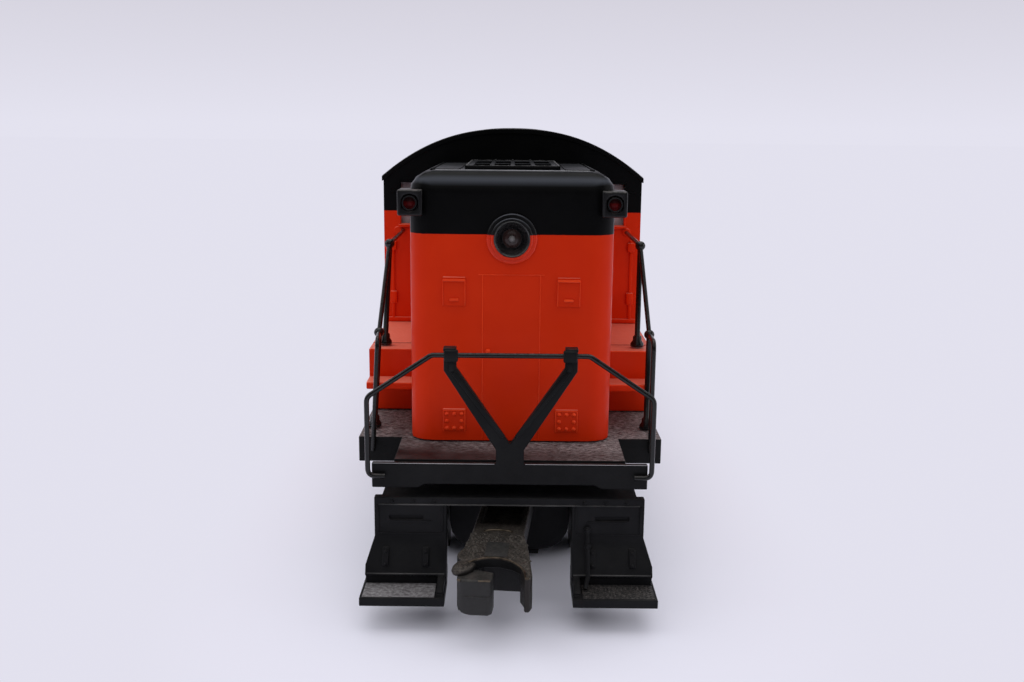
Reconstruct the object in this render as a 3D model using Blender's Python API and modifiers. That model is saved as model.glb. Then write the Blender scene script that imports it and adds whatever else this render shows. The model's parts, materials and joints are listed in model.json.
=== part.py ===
"""O-gauge model of a hood-type diesel road switcher, in metres, with +Z up.

X runs across the locomotive, Y along it with the short hood facing -Y, and Z rises from the surface
that the wheel flanges stand on. Left is the locomotive's own left, at +X. Each truck is modelled in
its own frame, with its swivel axis at the origin and the nearer end of the locomotive towards -Y.
"""

import math

import bmesh
import bpy
from mathutils import Matrix, Vector

MM = 0.001

# Clearances
SEAT_GAP = 0.3 * MM  # between two pieces that rest on each other
RUNNING_GAP = 0.3 * MM  # round a shaft, a pin or a pivot
OVERLAP = 0.5 * MM  # how far a moulded detail sinks into the wall that carries it
THROUGH = 2.0 * MM  # how far a cutter runs past the wall that it opens

# Facets
ARC_STEPS = 4  # on a quarter round
ROOF_STEPS = 14  # across the cab roof
WHEEL_SIDES = 16
ROUND_SIDES = 16
PIN_SIDES = 10
SLIM_SIDES = 8
POST_SIDES = 6
THREAD_STEPS = 12  # in a turn of the worm
WIRE_STEPS = 1  # a six-sided wire
WELD = 0.002 * MM

# Running board and frame
DECK_TOP = 31.0 * MM
DECK_WIDTH = 63.0 * MM
DECK_LENGTH = 277.0 * MM
DECK_PLATE = 2.0 * MM
SILL_DEPTH = 5.3 * MM
SILL_WALL = 1.6 * MM
PLATFORM_WIDTH = 45.0 * MM
PLATFORM_LENGTH = 14.8 * MM
MOTOR_SWING_ROOM = 1.0 * MM

# End beam and its forked brace
BEAM_WIDTH = 53.3 * MM
BEAM_DEPTH = 4.9 * MM
BEAM_DROP = 0.3 * MM
BEAM_PLATE = 1.4 * MM
BEAM_RELIEF = 34.0 * MM
BEAM_RELIEF_DEPTH = 0.7 * MM
BRACE_STEM = 5.4 * MM
BRACE_STEM_HEIGHT = 4.0 * MM
BRACE_STRAP = 2.4 * MM
BRACE_SPREAD = 23.0 * MM
BRACE_KNEE = 3.2 * MM  # below the rail, where a strap turns upright
BRACE_CLIP = 0.6 * MM

# Wire rails
WIRE = 1.0 * MM
WIRE_BEND = 1.6 * MM
BEND_SHARE = 0.45  # the most of a straight run that a bend may take
END_RAIL_HEIGHT = 21.3 * MM
END_RAIL_SHOULDER = 13.0 * MM
END_RAIL_TOP = 29.8 * MM
END_RAIL_WIDTH = 54.6 * MM
END_RAIL_FOOT = 2.6 * MM
END_RAIL_HOOK = 3.3 * MM
SIDE_RAIL_HEIGHT = 20.8 * MM
SIDE_RAIL_WIDTH = 58.2 * MM
STEP_RAIL_WIDTH = 55.6 * MM
SIDE_RAIL_FOOT = 2.7 * MM
CAB_RAIL_HEIGHT = 38.4 * MM
POST_RADIUS = 0.6 * MM
POST_FOOT_RADIUS = 1.5 * MM
POST_FOOT_HEIGHT = 0.7 * MM
POST_SOCKET_HEIGHT = 2.4 * MM
POST_EYE_RADIUS = 1.1 * MM
END_POST_SETBACK = 7.0 * MM
STEP_POST_SETBACK = 4.2 * MM
LONG_RAIL_POSTS = 6
LONG_RAIL_LAST_POST = 15.0 * MM  # behind the cab

# Hoods
HOOD_WIDTH = 40.0 * MM
HOOD_HEIGHT = 54.6 * MM
HOOD_ROUNDING = 4.4 * MM
HOOD_WALL = 1.5 * MM
HOOD_NOSE = 3.0 * MM  # how far a hood face stands past the end of the deck
SHORT_HOOD_LENGTH = 48.7 * MM
FACE_DETAIL = 0.35 * MM  # how far doors and plates stand proud
HATCH_WIDTH = 4.5 * MM
HATCH_HEIGHT = 5.8 * MM
HATCH_SPACING = 22.9 * MM
HATCH_BASE = 28.0 * MM
SAND_PLATE = 4.6 * MM
SAND_PLATE_BASE = 2.1 * MM
DOOR_WIDTH = 17.0 * MM
DOOR_HEIGHT = 36.0 * MM
DOOR_BASE = 5.0 * MM
DOOR_PITCH = 18.6 * MM
DOOR_COUNT = 7
DOOR_START = 8.0 * MM  # behind the cab
SHUTTER_LENGTH = 34.0 * MM
SHUTTER_BASE = 16.0 * MM
SHUTTER_SLATS = 6
SHUTTER_PITCH = 4.4 * MM
SHUTTER_SLAT = 2.2 * MM
SHUTTER_FROM_END = 8.0 * MM

# Roof fittings of the hoods
VENT_LENGTH = 33.0 * MM
VENT_WIDTH = 19.4 * MM
VENT_HEIGHT = 0.7 * MM
VENT_FRAME = 1.5 * MM
VENT_BAR = 0.9 * MM
VENT_COLUMNS = 4
VENT_ROWS = 2
VENT_DEPTH = 0.9 * MM
VENT_FROM_FACE = 8.5 * MM
FAN_RADIUS = 12.0 * MM
FAN_RIM = 1.4 * MM
FAN_HEIGHT = 1.6 * MM
FAN_DEPTH = 2.2 * MM
FAN_HUB_RADIUS = 2.4 * MM
FAN_SPOKES = 8
FAN_SPOKE = 1.0 * MM
FAN_FROM_END = 25.0 * MM
STACK_LENGTH = 13.0 * MM
STACK_WIDTH = 7.0 * MM
STACK_HEIGHT = 3.4 * MM
STACK_WALL = 1.0 * MM
STACK_FROM_CAB = 52.0 * MM

# Battery boxes and steps beside the short hood
BOX_REACH = 10.8 * MM
BOX_HEIGHT = 15.6 * MM
BOX_LENGTH = 32.9 * MM
STEP_HEIGHT = 9.5 * MM
STEP_REACH = 5.0 * MM
STEP_PLATE = 1.2 * MM
TOE_RECESS = 8.2 * MM

# Cab
CAB_WIDTH = 62.4 * MM
CAB_LENGTH = 47.0 * MM
CAB_HEIGHT = 62.7 * MM
CAB_WALL = 1.5 * MM
CAB_ROOF_RISE = 11.2 * MM
CAB_ROOF_FULLNESS = 2.36  # the power of the arch: 2 is a parabola
CAB_ROOF_SKIN = 1.2 * MM
CAB_DRIP = 0.35 * MM
CAB_ROOF_STEP = 0.5 * MM
END_WINDOW_WIDTH = 6.1 * MM
END_WINDOW_INSET = 4.1 * MM
END_WINDOW_HEIGHT = 9.9 * MM
END_WINDOW_BASE = 39.8 * MM
SIDE_WINDOW_WIDTH = 12.5 * MM
SIDE_WINDOW_POST = 2.0 * MM
SIDE_WINDOW_HEIGHT = 11.5 * MM
SIDE_WINDOW_BASE = 37.5 * MM
GLASS = 0.8 * MM
GLASS_LAP = 0.4 * MM

# Headlights and marker lights
HEADLIGHT_HEIGHT = 41.5 * MM
HEADLIGHT_RING_RADIUS = 4.9 * MM
HEADLIGHT_RING_HEIGHT = 0.7 * MM
HEADLIGHT_STEP_RADIUS = 4.1 * MM
HEADLIGHT_STEP_HEIGHT = 1.3 * MM
HEADLIGHT_LENS_RADIUS = 3.2 * MM
HEADLIGHT_LENS_DEPTH = 1.6 * MM
HEADLIGHT_LENS_RECESS = 0.5 * MM
HEADLIGHT_BULB_RADIUS = 1.7 * MM
HEADLIGHT_BULB_LENGTH = 7.0 * MM
MARKER_WIDTH = 4.9 * MM
MARKER_HEIGHT = 5.1 * MM
MARKER_DEPTH = 6.2 * MM
MARKER_STANDOFF = 1.5 * MM
MARKER_OUTSET = 2.5 * MM
MARKER_BASE = 45.9 * MM
MARKER_LENS_RADIUS = 1.35 * MM
MARKER_LENS_DEPTH = 1.0 * MM
MARKER_LENS_RECESS = 0.3 * MM

# Fuel tank and control board
TANK_LENGTH = 72.0 * MM
TANK_WIDTH = 48.0 * MM
TANK_BOTTOM = 7.0 * MM
TANK_ROUNDING = 7.0 * MM
TANK_RIB = 1.2 * MM
BOARD_LENGTH = 70.0 * MM
BOARD_WIDTH = 26.0 * MM
BOARD_PLATE = 1.6 * MM
BOARD_STANDOFF = 4.0 * MM
BOARD_LEG_RADIUS = 1.6 * MM
BOARD_FROM_CAB = 20.0 * MM
TRANSFORMER_LENGTH = 17.3 * MM
TRANSFORMER_WIDTH = 13.0 * MM
TRANSFORMER_HEIGHT = 8.7 * MM
CAPACITOR_RADIUS = 4.3 * MM
CAPACITOR_HEIGHT = 17.3 * MM

# Trucks: wheels and axles
TRUCK_FROM_END = 47.5 * MM
TRUCK_SWING = math.radians(14)
WHEELBASE = 57.0 * MM
TREAD_RADIUS = 10.5 * MM
FLANGE_RADIUS = 11.8 * MM
FLANGE_THICKNESS = 1.1 * MM
WHEEL_BACK_TO_BACK = 27.4 * MM
WHEEL_THICKNESS = 5.0 * MM
WHEEL_RIM = 1.8 * MM
WHEEL_DISH = 0.9 * MM
AXLE_RADIUS = 1.5 * MM
AXLE_OVERHANG = 0.7 * MM
AXLE_END_ROOM = 1.2 * MM  # to the side frame
WHEEL_SEAT_GAP = 0.2 * MM

# Trucks: worm drive
GEAR_MODULE = 0.75 * MM
GEAR_TEETH = 16
GEAR_WIDTH = 3.6 * MM
GEAR_ADDENDUM = 0.5 * MM
GEAR_DEDENDUM = 0.8 * MM
GEAR_TOOTH_SHARE = 0.42  # of the pitch, at the pitch line
WORM_PITCH_RADIUS = 3.0 * MM
WORM_DEDENDUM = 0.65 * MM
WORM_THREAD_SHARE = 0.34
WORM_TURNS = 2
FLANK_ANGLE = math.radians(25)
SHAFT_RADIUS = 1.0 * MM
SHAFT_END_GAP = 0.3 * MM

# Trucks: motor
MOTOR_RADIUS = 10.5 * MM
MOTOR_HEIGHT = 32.0 * MM
MOTOR_CHAMFER = 1.0 * MM
MOTOR_BOSS_RADIUS = 4.0 * MM
MOTOR_BOSS_HEIGHT = 1.3 * MM
MOTOR_COLLAR_RADIUS = 8.5 * MM
MOTOR_COLLAR_HEIGHT = 3.3 * MM
FLYWHEEL_RADIUS = 8.5 * MM
FLYWHEEL_HEIGHT = 8.0 * MM

# Trucks: gear block
BLOCK_WIDTH = 26.4 * MM
BLOCK_BOTTOM = 2.4 * MM
BLOCK_TOP = 21.7 * MM
BLOCK_FRONT = 38.0 * MM
BLOCK_REAR = 36.0 * MM
BLOCK_ROUNDING = 6.5 * MM
CHAMBER_ROOM = 0.8 * MM
BOLSTER_LENGTH = 14.0 * MM
BOLSTER_BOTTOM = 13.0 * MM
BOLSTER_TOP = 20.0 * MM
PAD_RADIUS = 8.0 * MM
STUD_RADIUS = 3.0 * MM
STUD_HEAD_RADIUS = 5.2 * MM
STUD_HEAD_HEIGHT = 1.3 * MM
TONGUE_WIDTH = 12.0 * MM
TONGUE_REACH = 51.0 * MM  # from the swivel axis
COVER_WIDTH = 13.0 * MM
COVER_LAP = 1.6 * MM
COVER_PLATE = 1.0 * MM
THRUST_PAD_RADIUS = 2.0 * MM
THRUST_HEIGHT = 2.4 * MM

# Trucks: side frames
SIDEFRAME_PLATE = 2.4 * MM
SIDEFRAME_TOP = 20.6 * MM
SIDEFRAME_WAIST = 17.2 * MM
SIDEFRAME_BOTTOM = 5.6 * MM
SIDEFRAME_BOW = 11.0 * MM
SIDEFRAME_END = 8.0 * MM  # past the axle
PEDESTAL_WIDTH = 9.6 * MM
PEDESTAL_BOTTOM = 6.6 * MM
JOURNAL_WIDTH = 7.0 * MM
JOURNAL_HEIGHT = 8.0 * MM
JOURNAL_DEPTH = 3.2 * MM
JOURNAL_LID_RADIUS = 2.8 * MM
JOURNAL_LID = 0.7 * MM
SPRING_RADIUS = 2.0 * MM
SPRING_SPACING = 7.0 * MM
SPRING_PLANK = 2.0 * MM
SPRING_PLANK_LENGTH = 17.0 * MM
SPRING_PLANK_LIP = 0.5 * MM

# Trucks: pilot with footboards
PILOT_TOP = 23.8 * MM
PILOT_BAR = 1.5 * MM
PILOT_PLATE = 1.8 * MM
PILOT_FACE_LEAD = 64.0 * MM  # from the swivel axis
PILOT_WIDTH = 52.6 * MM
PILOT_FLARE_WIDTH = 55.8 * MM
PILOT_FLARE_TOP = 15.8 * MM
PILOT_FLARE_BOTTOM = 10.8 * MM
PILOT_LIP = 8.8 * MM
PILOT_GAP = 24.4 * MM
PILOT_APRON = 3.1 * MM  # how far the flared lower part leans out
PILOT_APRON_EDGE = 0.6 * MM
PILOT_RISER_INSET = 0.8 * MM
PILOT_SHELF = 7.0 * MM
PILOT_SHELF_WIDTH = 50.0 * MM
PILOT_TAB = 17.0 * MM
PILOT_RIB = 0.6 * MM
PILOT_RIB_WIDTH = 1.2 * MM
PILOT_RIB_HEIGHT = 3.6 * MM
PILOT_RIB_SPACING = 7.8 * MM
PILOT_SLOT = 6.6 * MM
PILOT_SLOT_HEIGHT = 0.8 * MM
PILOT_SLOT_DEPTH = 0.6 * MM
PILOT_SLOT_DROP = 2.2 * MM  # below the bar
PILOT_CHEEK = 1.6 * MM
FOOTBOARD_WIDTH = 16.1 * MM
FOOTBOARD_TOP = 7.0 * MM
FOOTBOARD_PLATE = 1.7 * MM
FOOTBOARD_LEAD = 9.0 * MM

# Couplers
COUPLER_PIVOT = 43.5 * MM  # from the swivel axis
COUPLER_REST_SWING = math.radians(-5.3)
COUPLER_TOP = 17.6 * MM
COUPLER_BOTTOM = 7.6 * MM
COUPLER_SHANK = 4.3 * MM
COUPLER_SHANK_WIDTH = 10.2 * MM
COUPLER_CHANNEL_WIDTH = 7.8 * MM
COUPLER_CHANNEL_DEPTH = 1.6 * MM
COUPLER_CHANNEL_END = 18.0 * MM
COUPLER_REACH = 38.2 * MM
COUPLER_NECK = 23.2 * MM
COUPLER_SHOULDER = 24.0 * MM
COUPLER_FLANK = 28.6 * MM
COUPLER_FLANK_LUG_SIDE = 5.9 * MM
COUPLER_FLANK_GUARD_SIDE = 6.4 * MM
COUPLER_THROAT_RADIUS = 6.25 * MM
COUPLER_THROAT_X = 0.2 * MM
COUPLER_THROAT = 38.0 * MM
COUPLER_HEAD_DROP = 2.4 * MM  # from the shoulder to the guard's tip
COUPLER_POCKET = 27.4 * MM
COUPLER_POCKET_TOP = 14.2 * MM
COUPLER_POCKET_WALL = 1.1 * MM
COUPLER_STUD_RADIUS = 1.7 * MM
COUPLER_STUD_HEAD_RADIUS = 3.2 * MM
COUPLER_STUD_HEAD = 1.2 * MM
GUARD_SIDE = 7.7 * MM
GUARD_TIP_WIDTH = 1.6 * MM
GUARD_TAPER = 1.6 * MM
GUARD_BOTTOM = 8.7 * MM
KNUCKLE_PIN_X = -4.5 * MM
KNUCKLE_PIN_LEAD = 31.0 * MM
KNUCKLE_PIN_RADIUS = 0.9 * MM
KNUCKLE_EYE_RADIUS = 2.2 * MM
KNUCKLE_EYE_HEIGHT = 2.4 * MM
KNUCKLE_EYE_BASE = 10.0 * MM
KNUCKLE_TOP = 14.5 * MM
KNUCKLE_SLOT_ROOM = 0.3 * MM
KNUCKLE_LUG = 2.3 * MM
KNUCKLE_NOSE_SIDE = 6.0 * MM
KNUCKLE_NOSE_WIDTH = 6.5 * MM
KNUCKLE_NOSE_LENGTH = 4.8 * MM
KNUCKLE_NOSE_ROUND = 1.4 * MM
KNUCKLE_NECK_WIDTH = 3.6 * MM
KNUCKLE_SOLE_ROUND = 3.2 * MM

# Current pickups
PICKUP_PIVOT_Y = -6.0 * MM
PICKUP_PIVOT_Z = 7.5 * MM
PICKUP_PIN_RADIUS = 0.8 * MM
PICKUP_ROLLER_Y = 8.0 * MM
PICKUP_ROLLER_RADIUS = 2.75 * MM
PICKUP_ROLLER_LENGTH = 8.8 * MM
PICKUP_GROUND_GAP = 0.3 * MM
PICKUP_EAR = 1.0 * MM
PICKUP_EAR_HALF = 1.3 * MM
PICKUP_SIDE_ROOM = 2.2 * MM
PICKUP_END_ROOM = 3.0 * MM
PICKUP_HEAD_ROOM = 3.0 * MM

# Levels and stations that several pieces share
SEAT = DECK_TOP + SEAT_GAP
HOOD_TOP = SEAT + HOOD_HEIGHT
DECK_END = DECK_LENGTH / 2
TRUCK_STATION = DECK_END - TRUCK_FROM_END
HOOD_FACE = DECK_END + HOOD_NOSE
PLATFORM_END = DECK_END + PLATFORM_LENGTH
BEAM_BACK = PLATFORM_END + SEAT_GAP
BEAM_FRONT = BEAM_BACK + BEAM_PLATE
BEAM_TOP = DECK_TOP - BEAM_DROP
CAB_FRONT = -HOOD_FACE + SHORT_HOOD_LENGTH + SEAT_GAP
CAB_REAR = CAB_FRONT + CAB_LENGTH
CAB_CROWN = SEAT + CAB_HEIGHT
DECK_UNDERSIDE = DECK_TOP - DECK_PLATE
SIDE_RAIL_X = SIDE_RAIL_WIDTH / 2
SIDE_RAIL_Y = DECK_END + SEAT_GAP + WIRE / 2
BOX_FACE = CAB_FRONT - SEAT_GAP - BOX_LENGTH
AXLE_HEIGHT = FLANGE_RADIUS * math.cos(math.pi / WHEEL_SIDES)
GEAR_PITCH = math.pi * GEAR_MODULE
GEAR_PITCH_RADIUS = GEAR_MODULE * GEAR_TEETH / 2
GEAR_TIP_RADIUS = GEAR_PITCH_RADIUS + GEAR_ADDENDUM
WORM_TIP_RADIUS = WORM_PITCH_RADIUS + GEAR_ADDENDUM
WORM_ROOT_RADIUS = WORM_PITCH_RADIUS - WORM_DEDENDUM
DRIVE_AXLE_Y = -WHEELBASE / 2
IDLE_AXLE_Y = WHEELBASE / 2
SHAFT_Y = DRIVE_AXLE_Y + GEAR_PITCH_RADIUS + WORM_PITCH_RADIUS
MOTOR_BASE = BLOCK_TOP + MOTOR_COLLAR_HEIGHT + SEAT_GAP
MOTOR_TOP = MOTOR_BASE + MOTOR_HEIGHT + MOTOR_BOSS_HEIGHT
CHAMBER_TOP = AXLE_HEIGHT + GEAR_TIP_RADIUS + CHAMBER_ROOM
TONGUE_BOTTOM = COUPLER_TOP + SEAT_GAP
WHEEL_BACK = WHEEL_BACK_TO_BACK / 2
WHEEL_FACE = WHEEL_BACK + WHEEL_THICKNESS
SIDEFRAME_INNER = WHEEL_FACE + AXLE_OVERHANG + AXLE_END_ROOM
COVER_TOP = BLOCK_BOTTOM - SEAT_GAP
PICKUP_ROLLER_Z = PICKUP_GROUND_GAP + PICKUP_ROLLER_RADIUS

PAINT = ("shell_paint", (0.80, 0.13, 0.02), 0.38, 0.0)
BLACK_METAL = ("frame_black", (0.02, 0.02, 0.022), 0.45, 0.0)
BLACK_PLASTIC = ("plastic_black", (0.018, 0.018, 0.018), 0.4, 0.0)
WIRE_BLACK = ("wire_black", (0.02, 0.02, 0.02), 0.35, 0.6)
CAST_BRONZE = ("coupler_casting", (0.10, 0.075, 0.05), 0.55, 0.8)
WHEEL_STEEL = ("wheel_steel", (0.32, 0.31, 0.30), 0.35, 1.0)
SHAFT_STEEL = ("shaft_steel", (0.55, 0.55, 0.55), 0.3, 1.0)
GEAR_BRASS = ("gear_brass", (0.72, 0.50, 0.20), 0.35, 1.0)
MOTOR_STEEL = ("motor_can", (0.50, 0.50, 0.50), 0.35, 1.0)
CLEAR_GLASS = ("clear_glazing", (0.85, 0.88, 0.88), 0.08, 0.0)
RED_LENS = ("red_lens", (0.55, 0.01, 0.01), 0.12, 0.0)
BOARD_GREEN = ("board_green", (0.02, 0.18, 0.06), 0.5, 0.0)


def remove_all_objects():
    for obj in list(bpy.data.objects):
        bpy.data.objects.remove(obj, do_unlink=True)


def new_collection(name):
    collection = bpy.data.collections.new(name)
    bpy.context.scene.collection.children.link(collection)
    return collection


def finish_material(finish):
    """The material of a finish, made the first time that it is asked for."""
    name, colour, roughness, metallic = finish
    found = bpy.data.materials.get(name)
    if found:
        return found
    made = bpy.data.materials.new(name)
    made.use_nodes = True
    shader = made.node_tree.nodes["Principled BSDF"]
    shader.inputs["Base Color"].default_value = (*colour, 1.0)
    shader.inputs["Roughness"].default_value = roughness
    shader.inputs["Metallic"].default_value = metallic
    return made


def add_empty(name, location, parent=None, turn=0.0):
    """An empty on a joint's axis, turned about Z."""
    empty = bpy.data.objects.new(name, None)
    empty.location = location
    empty.rotation_euler = (0.0, 0.0, turn)
    empty.empty_display_size = 10 * MM
    empty.parent = parent
    parts.objects.link(empty)
    return empty


def add_part(name, mesh, finish, parent=None, smooth=False):
    """One sub-part of the locomotive."""
    mesh.name = name
    mesh.materials.clear()
    mesh.materials.append(finish_material(finish))
    if smooth:
        mesh.shade_smooth()
        mesh.set_sharp_from_angle(angle=math.radians(40))
    obj = bpy.data.objects.new(name, mesh)
    obj.parent = parent
    parts.objects.link(obj)
    return obj


def add_boolean(target, mesh, operation):
    tool = bpy.data.objects.new(f"{target.name}_{operation.lower()}", mesh)
    tool.parent = target.parent
    tool.hide_render = True
    tool.display_type = "WIRE"
    cutters.objects.link(tool)
    modifier = target.modifiers.new(operation.lower(), "BOOLEAN")
    modifier.operation = operation
    modifier.solver = "EXACT"
    modifier.object = tool


def join(target, *meshes):
    for mesh in meshes:
        add_boolean(target, mesh, "UNION")


def cut(target, *meshes):
    for mesh in meshes:
        add_boolean(target, mesh, "DIFFERENCE")


def mesh_of(bm):
    """A mesh with its faces turned outwards."""
    bmesh.ops.recalc_face_normals(bm, faces=bm.faces)
    mesh = bpy.data.meshes.new("solid")
    bm.to_mesh(mesh)
    bm.free()
    return mesh


def baked(obj):
    """The evaluated mesh of a helper object, welded and with its open ends filled, in place of the helper."""
    bpy.context.scene.collection.objects.link(obj)
    graph = bpy.context.evaluated_depsgraph_get()
    mesh = bpy.data.meshes.new_from_object(obj.evaluated_get(graph))
    bpy.data.objects.remove(obj, do_unlink=True)
    bm = bmesh.new()
    bm.from_mesh(mesh)
    bpy.data.meshes.remove(mesh)
    bmesh.ops.remove_doubles(bm, verts=bm.verts, dist=WELD)
    bmesh.ops.holes_fill(bm, edges=[e for e in bm.edges if e.is_boundary])
    return mesh_of(bm)


def group(*meshes):
    """Separate solids in one mesh."""
    bm = bmesh.new()
    for mesh in meshes:
        bm.from_mesh(mesh)
        bpy.data.meshes.remove(mesh)
    return mesh_of(bm)


def box(low, high):
    low = Vector(low)
    high = Vector(high)
    bm = bmesh.new()
    bmesh.ops.create_cube(bm, size=1.0)
    bmesh.ops.scale(bm, vec=high - low, verts=bm.verts)
    bmesh.ops.translate(bm, vec=(low + high) / 2, verts=bm.verts)
    return mesh_of(bm)


def rod(start, end, radius, sides=PIN_SIDES):
    """A cylinder between two points, turned by half a facet."""
    start = Vector(start)
    along = Vector(end) - start
    place = Matrix.Translation(start + along / 2) @ along.to_track_quat("Z", "Y").to_matrix().to_4x4()
    place = place @ Matrix.Rotation(math.pi / sides, 4, "Z")
    bm = bmesh.new()
    bmesh.ops.create_cone(
        bm,
        cap_ends=True,
        segments=sides,
        radius1=radius,
        radius2=radius,
        depth=along.length,
        matrix=place,
    )
    return mesh_of(bm)


def arc(centre, radius, start, end, steps):
    """Points on a circle between two angles in degrees, both ends included."""
    turns = [math.radians(start + (end - start) * i / steps) for i in range(steps + 1)]
    return [(centre[0] + radius * math.cos(t), centre[1] + radius * math.sin(t)) for t in turns]


def mirrored(half):
    """A closed outline from its half at positive first coordinates, listed from bottom to top."""
    return half + [(-u, v) for u, v in reversed(half) if abs(u) > WELD]


# Where the first, second and third axis of a flat outline lead when it is extruded along each axis
EXTRUSION = {
    "X": Matrix(((0, 0, 1), (1, 0, 0), (0, 1, 0))).to_4x4(),
    "Y": Matrix(((1, 0, 0), (0, 0, -1), (0, 1, 0))).to_4x4(),
    "Z": Matrix.Identity(4),
}
UNIT = {"X": Vector((1, 0, 0)), "Y": Vector((0, 1, 0)), "Z": Vector((0, 0, 1))}


def prism(outline, axis, low, high):
    """A flat outline in the two other axes, extruded along an axis from low to high."""
    curve = bpy.data.curves.new("outline", "CURVE")
    curve.dimensions = "2D"
    curve.fill_mode = "NONE"
    curve.extrude = (high - low) / 2
    spline = curve.splines.new("POLY")
    spline.points.add(len(outline) - 1)
    for point, (u, v) in zip(spline.points, outline):
        point.co = (u, v, 0.0, 1.0)
    spline.use_cyclic_u = True
    mesh = baked(bpy.data.objects.new("outline", curve))
    mesh.transform(Matrix.Translation(UNIT[axis] * (low + high) / 2) @ EXTRUSION[axis])
    return mesh


def turned(profile, axis, centre, sides=ROUND_SIDES, bored=False):
    """A profile of (radius, station) points turned about an axis through a centre.

    The profile runs from its highest station to its lowest, and is closed by a bore when it is bored.
    A wheel with a multiple of four sides stands on a flat.
    """
    mesh = bpy.data.meshes.new("profile")
    points = [(radius, 0.0, station) for radius, station in profile]
    edges = [(i, i + 1) for i in range(len(points) - 1)]
    if bored:
        edges.append((len(points) - 1, 0))
    mesh.from_pydata(points, edges, [])
    mesh.transform(Matrix.Rotation(math.pi / sides, 4, "Z"))
    obj = bpy.data.objects.new("profile", mesh)
    screw = obj.modifiers.new("turn", "SCREW")
    screw.axis = "Z"
    screw.steps = sides
    screw.render_steps = sides
    screw.use_merge_vertices = True
    screw.merge_threshold = WELD
    made = baked(obj)
    made.transform(Matrix.Translation(centre) @ EXTRUSION[axis])
    return made


def wire_path(points, bend):
    """The points of a bent wire, with each inner corner rounded."""
    points = [Vector(p) for p in points]
    path = [points[0]]
    for before, corner, after in zip(points, points[1:], points[2:]):
        back = (before - corner).normalized()
        on = (after - corner).normalized()
        half = back.angle(on) / 2
        shorter = min((before - corner).length, (after - corner).length)
        reach = min(bend / math.tan(half), BEND_SHARE * shorter)
        start = corner + back * reach
        end = corner + on * reach
        path.append(start)
        path.append((start + 2 * corner + end) / 4)
        path.append(end)
    return path + [points[-1]]


def wire(points, diameter=WIRE, bend=WIRE_BEND):
    curve = bpy.data.curves.new("wire", "CURVE")
    curve.dimensions = "3D"
    curve.bevel_depth = diameter / 2
    curve.bevel_resolution = WIRE_STEPS
    curve.use_fill_caps = True
    path = wire_path(points, bend)
    spline = curve.splines.new("POLY")
    spline.points.add(len(path) - 1)
    for point, place in zip(spline.points, path):
        point.co = (*place, 1.0)
    return baked(bpy.data.objects.new("wire", curve))


def post(foot, height):
    """A turned handrail post with a flanged foot and an eye for the wire."""
    eye = height - POST_EYE_RADIUS
    profile = [
        (0.0, height + POST_EYE_RADIUS),
        (POST_EYE_RADIUS, height),
        (POST_RADIUS, eye),
        (POST_RADIUS, POST_SOCKET_HEIGHT),
        (POST_FOOT_RADIUS, POST_FOOT_HEIGHT),
        (POST_FOOT_RADIUS, 0.0),
        (0.0, 0.0),
    ]
    return turned(profile, "Z", foot, POST_SIDES)


def both_sides():
    """The two sides of the locomotive, by name and by the sign of X."""
    return (("left", 1), ("right", -1))


def both_ends():
    """The two ends of the locomotive, by name and by the sign of Y."""
    return (("front", -1), ("rear", 1))


def span(first, second):
    """Two values in rising order."""
    return min(first, second), max(first, second)


def build_frame():
    """The die-cast running board: plate, side sills, end platforms and the openings over the trucks."""
    half = DECK_WIDTH / 2
    frame = add_part(
        "frame",
        box((-half, -DECK_END, DECK_TOP - SILL_DEPTH), (half, DECK_END, DECK_TOP)),
        BLACK_METAL,
    )
    pocket = half - SILL_WALL
    cut(
        frame,
        box(
            (-pocket, -DECK_END + SILL_WALL, DECK_TOP - SILL_DEPTH - THROUGH),
            (pocket, DECK_END - SILL_WALL, DECK_UNDERSIDE),
        ),
    )
    for _, end in both_ends():
        low, high = span(end * (DECK_END - SILL_WALL / 2), end * PLATFORM_END)
        join(frame, box((-PLATFORM_WIDTH / 2, low, DECK_UNDERSIDE), (PLATFORM_WIDTH / 2, high, DECK_TOP)))
        centre = end * TRUCK_STATION
        swing = abs(SHAFT_Y) * math.sin(TRUCK_SWING)
        reach = MOTOR_RADIUS + MOTOR_SWING_ROOM
        low, high = span(centre + end * (abs(SHAFT_Y) - reach), centre + end * (abs(SHAFT_Y) + reach))
        cut(
            frame,
            box(
                (-swing - reach, low, DECK_UNDERSIDE - THROUGH),
                (swing + reach, high, DECK_TOP + THROUGH),
            ),
            rod(
                (0, centre, DECK_UNDERSIDE - THROUGH),
                (0, centre, DECK_TOP + THROUGH),
                STUD_RADIUS + RUNNING_GAP,
                ROUND_SIDES,
            ),
        )


def brace_outline():
    """The end beam with its forked brace, seen from the end of the locomotive."""
    half = BEAM_WIDTH / 2
    bottom = BEAM_TOP - BEAM_DEPTH
    relief = BEAM_RELIEF / 2
    stem = BRACE_STEM / 2
    crotch = BEAM_TOP + BRACE_STEM_HEIGHT
    rail = DECK_TOP + END_RAIL_HEIGHT
    knee = rail - BRACE_KNEE
    top = rail + WIRE / 2 + SEAT_GAP + BRACE_CLIP
    outer = BRACE_SPREAD / 2 + BRACE_STRAP / 2
    inner = BRACE_SPREAD / 2 - BRACE_STRAP / 2
    return mirrored(
        [
            (relief - BEAM_RELIEF_DEPTH, bottom + BEAM_RELIEF_DEPTH),
            (relief + BEAM_RELIEF_DEPTH, bottom),
            (half, bottom),
            (half, BEAM_TOP),
            (stem, BEAM_TOP),
            (stem, crotch - BRACE_STRAP / 2),
            (outer, knee),
            (outer, top),
            (inner, top),
            (inner, knee + BRACE_STRAP / 4),
            (0.0, crotch),
        ]
    )


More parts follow.
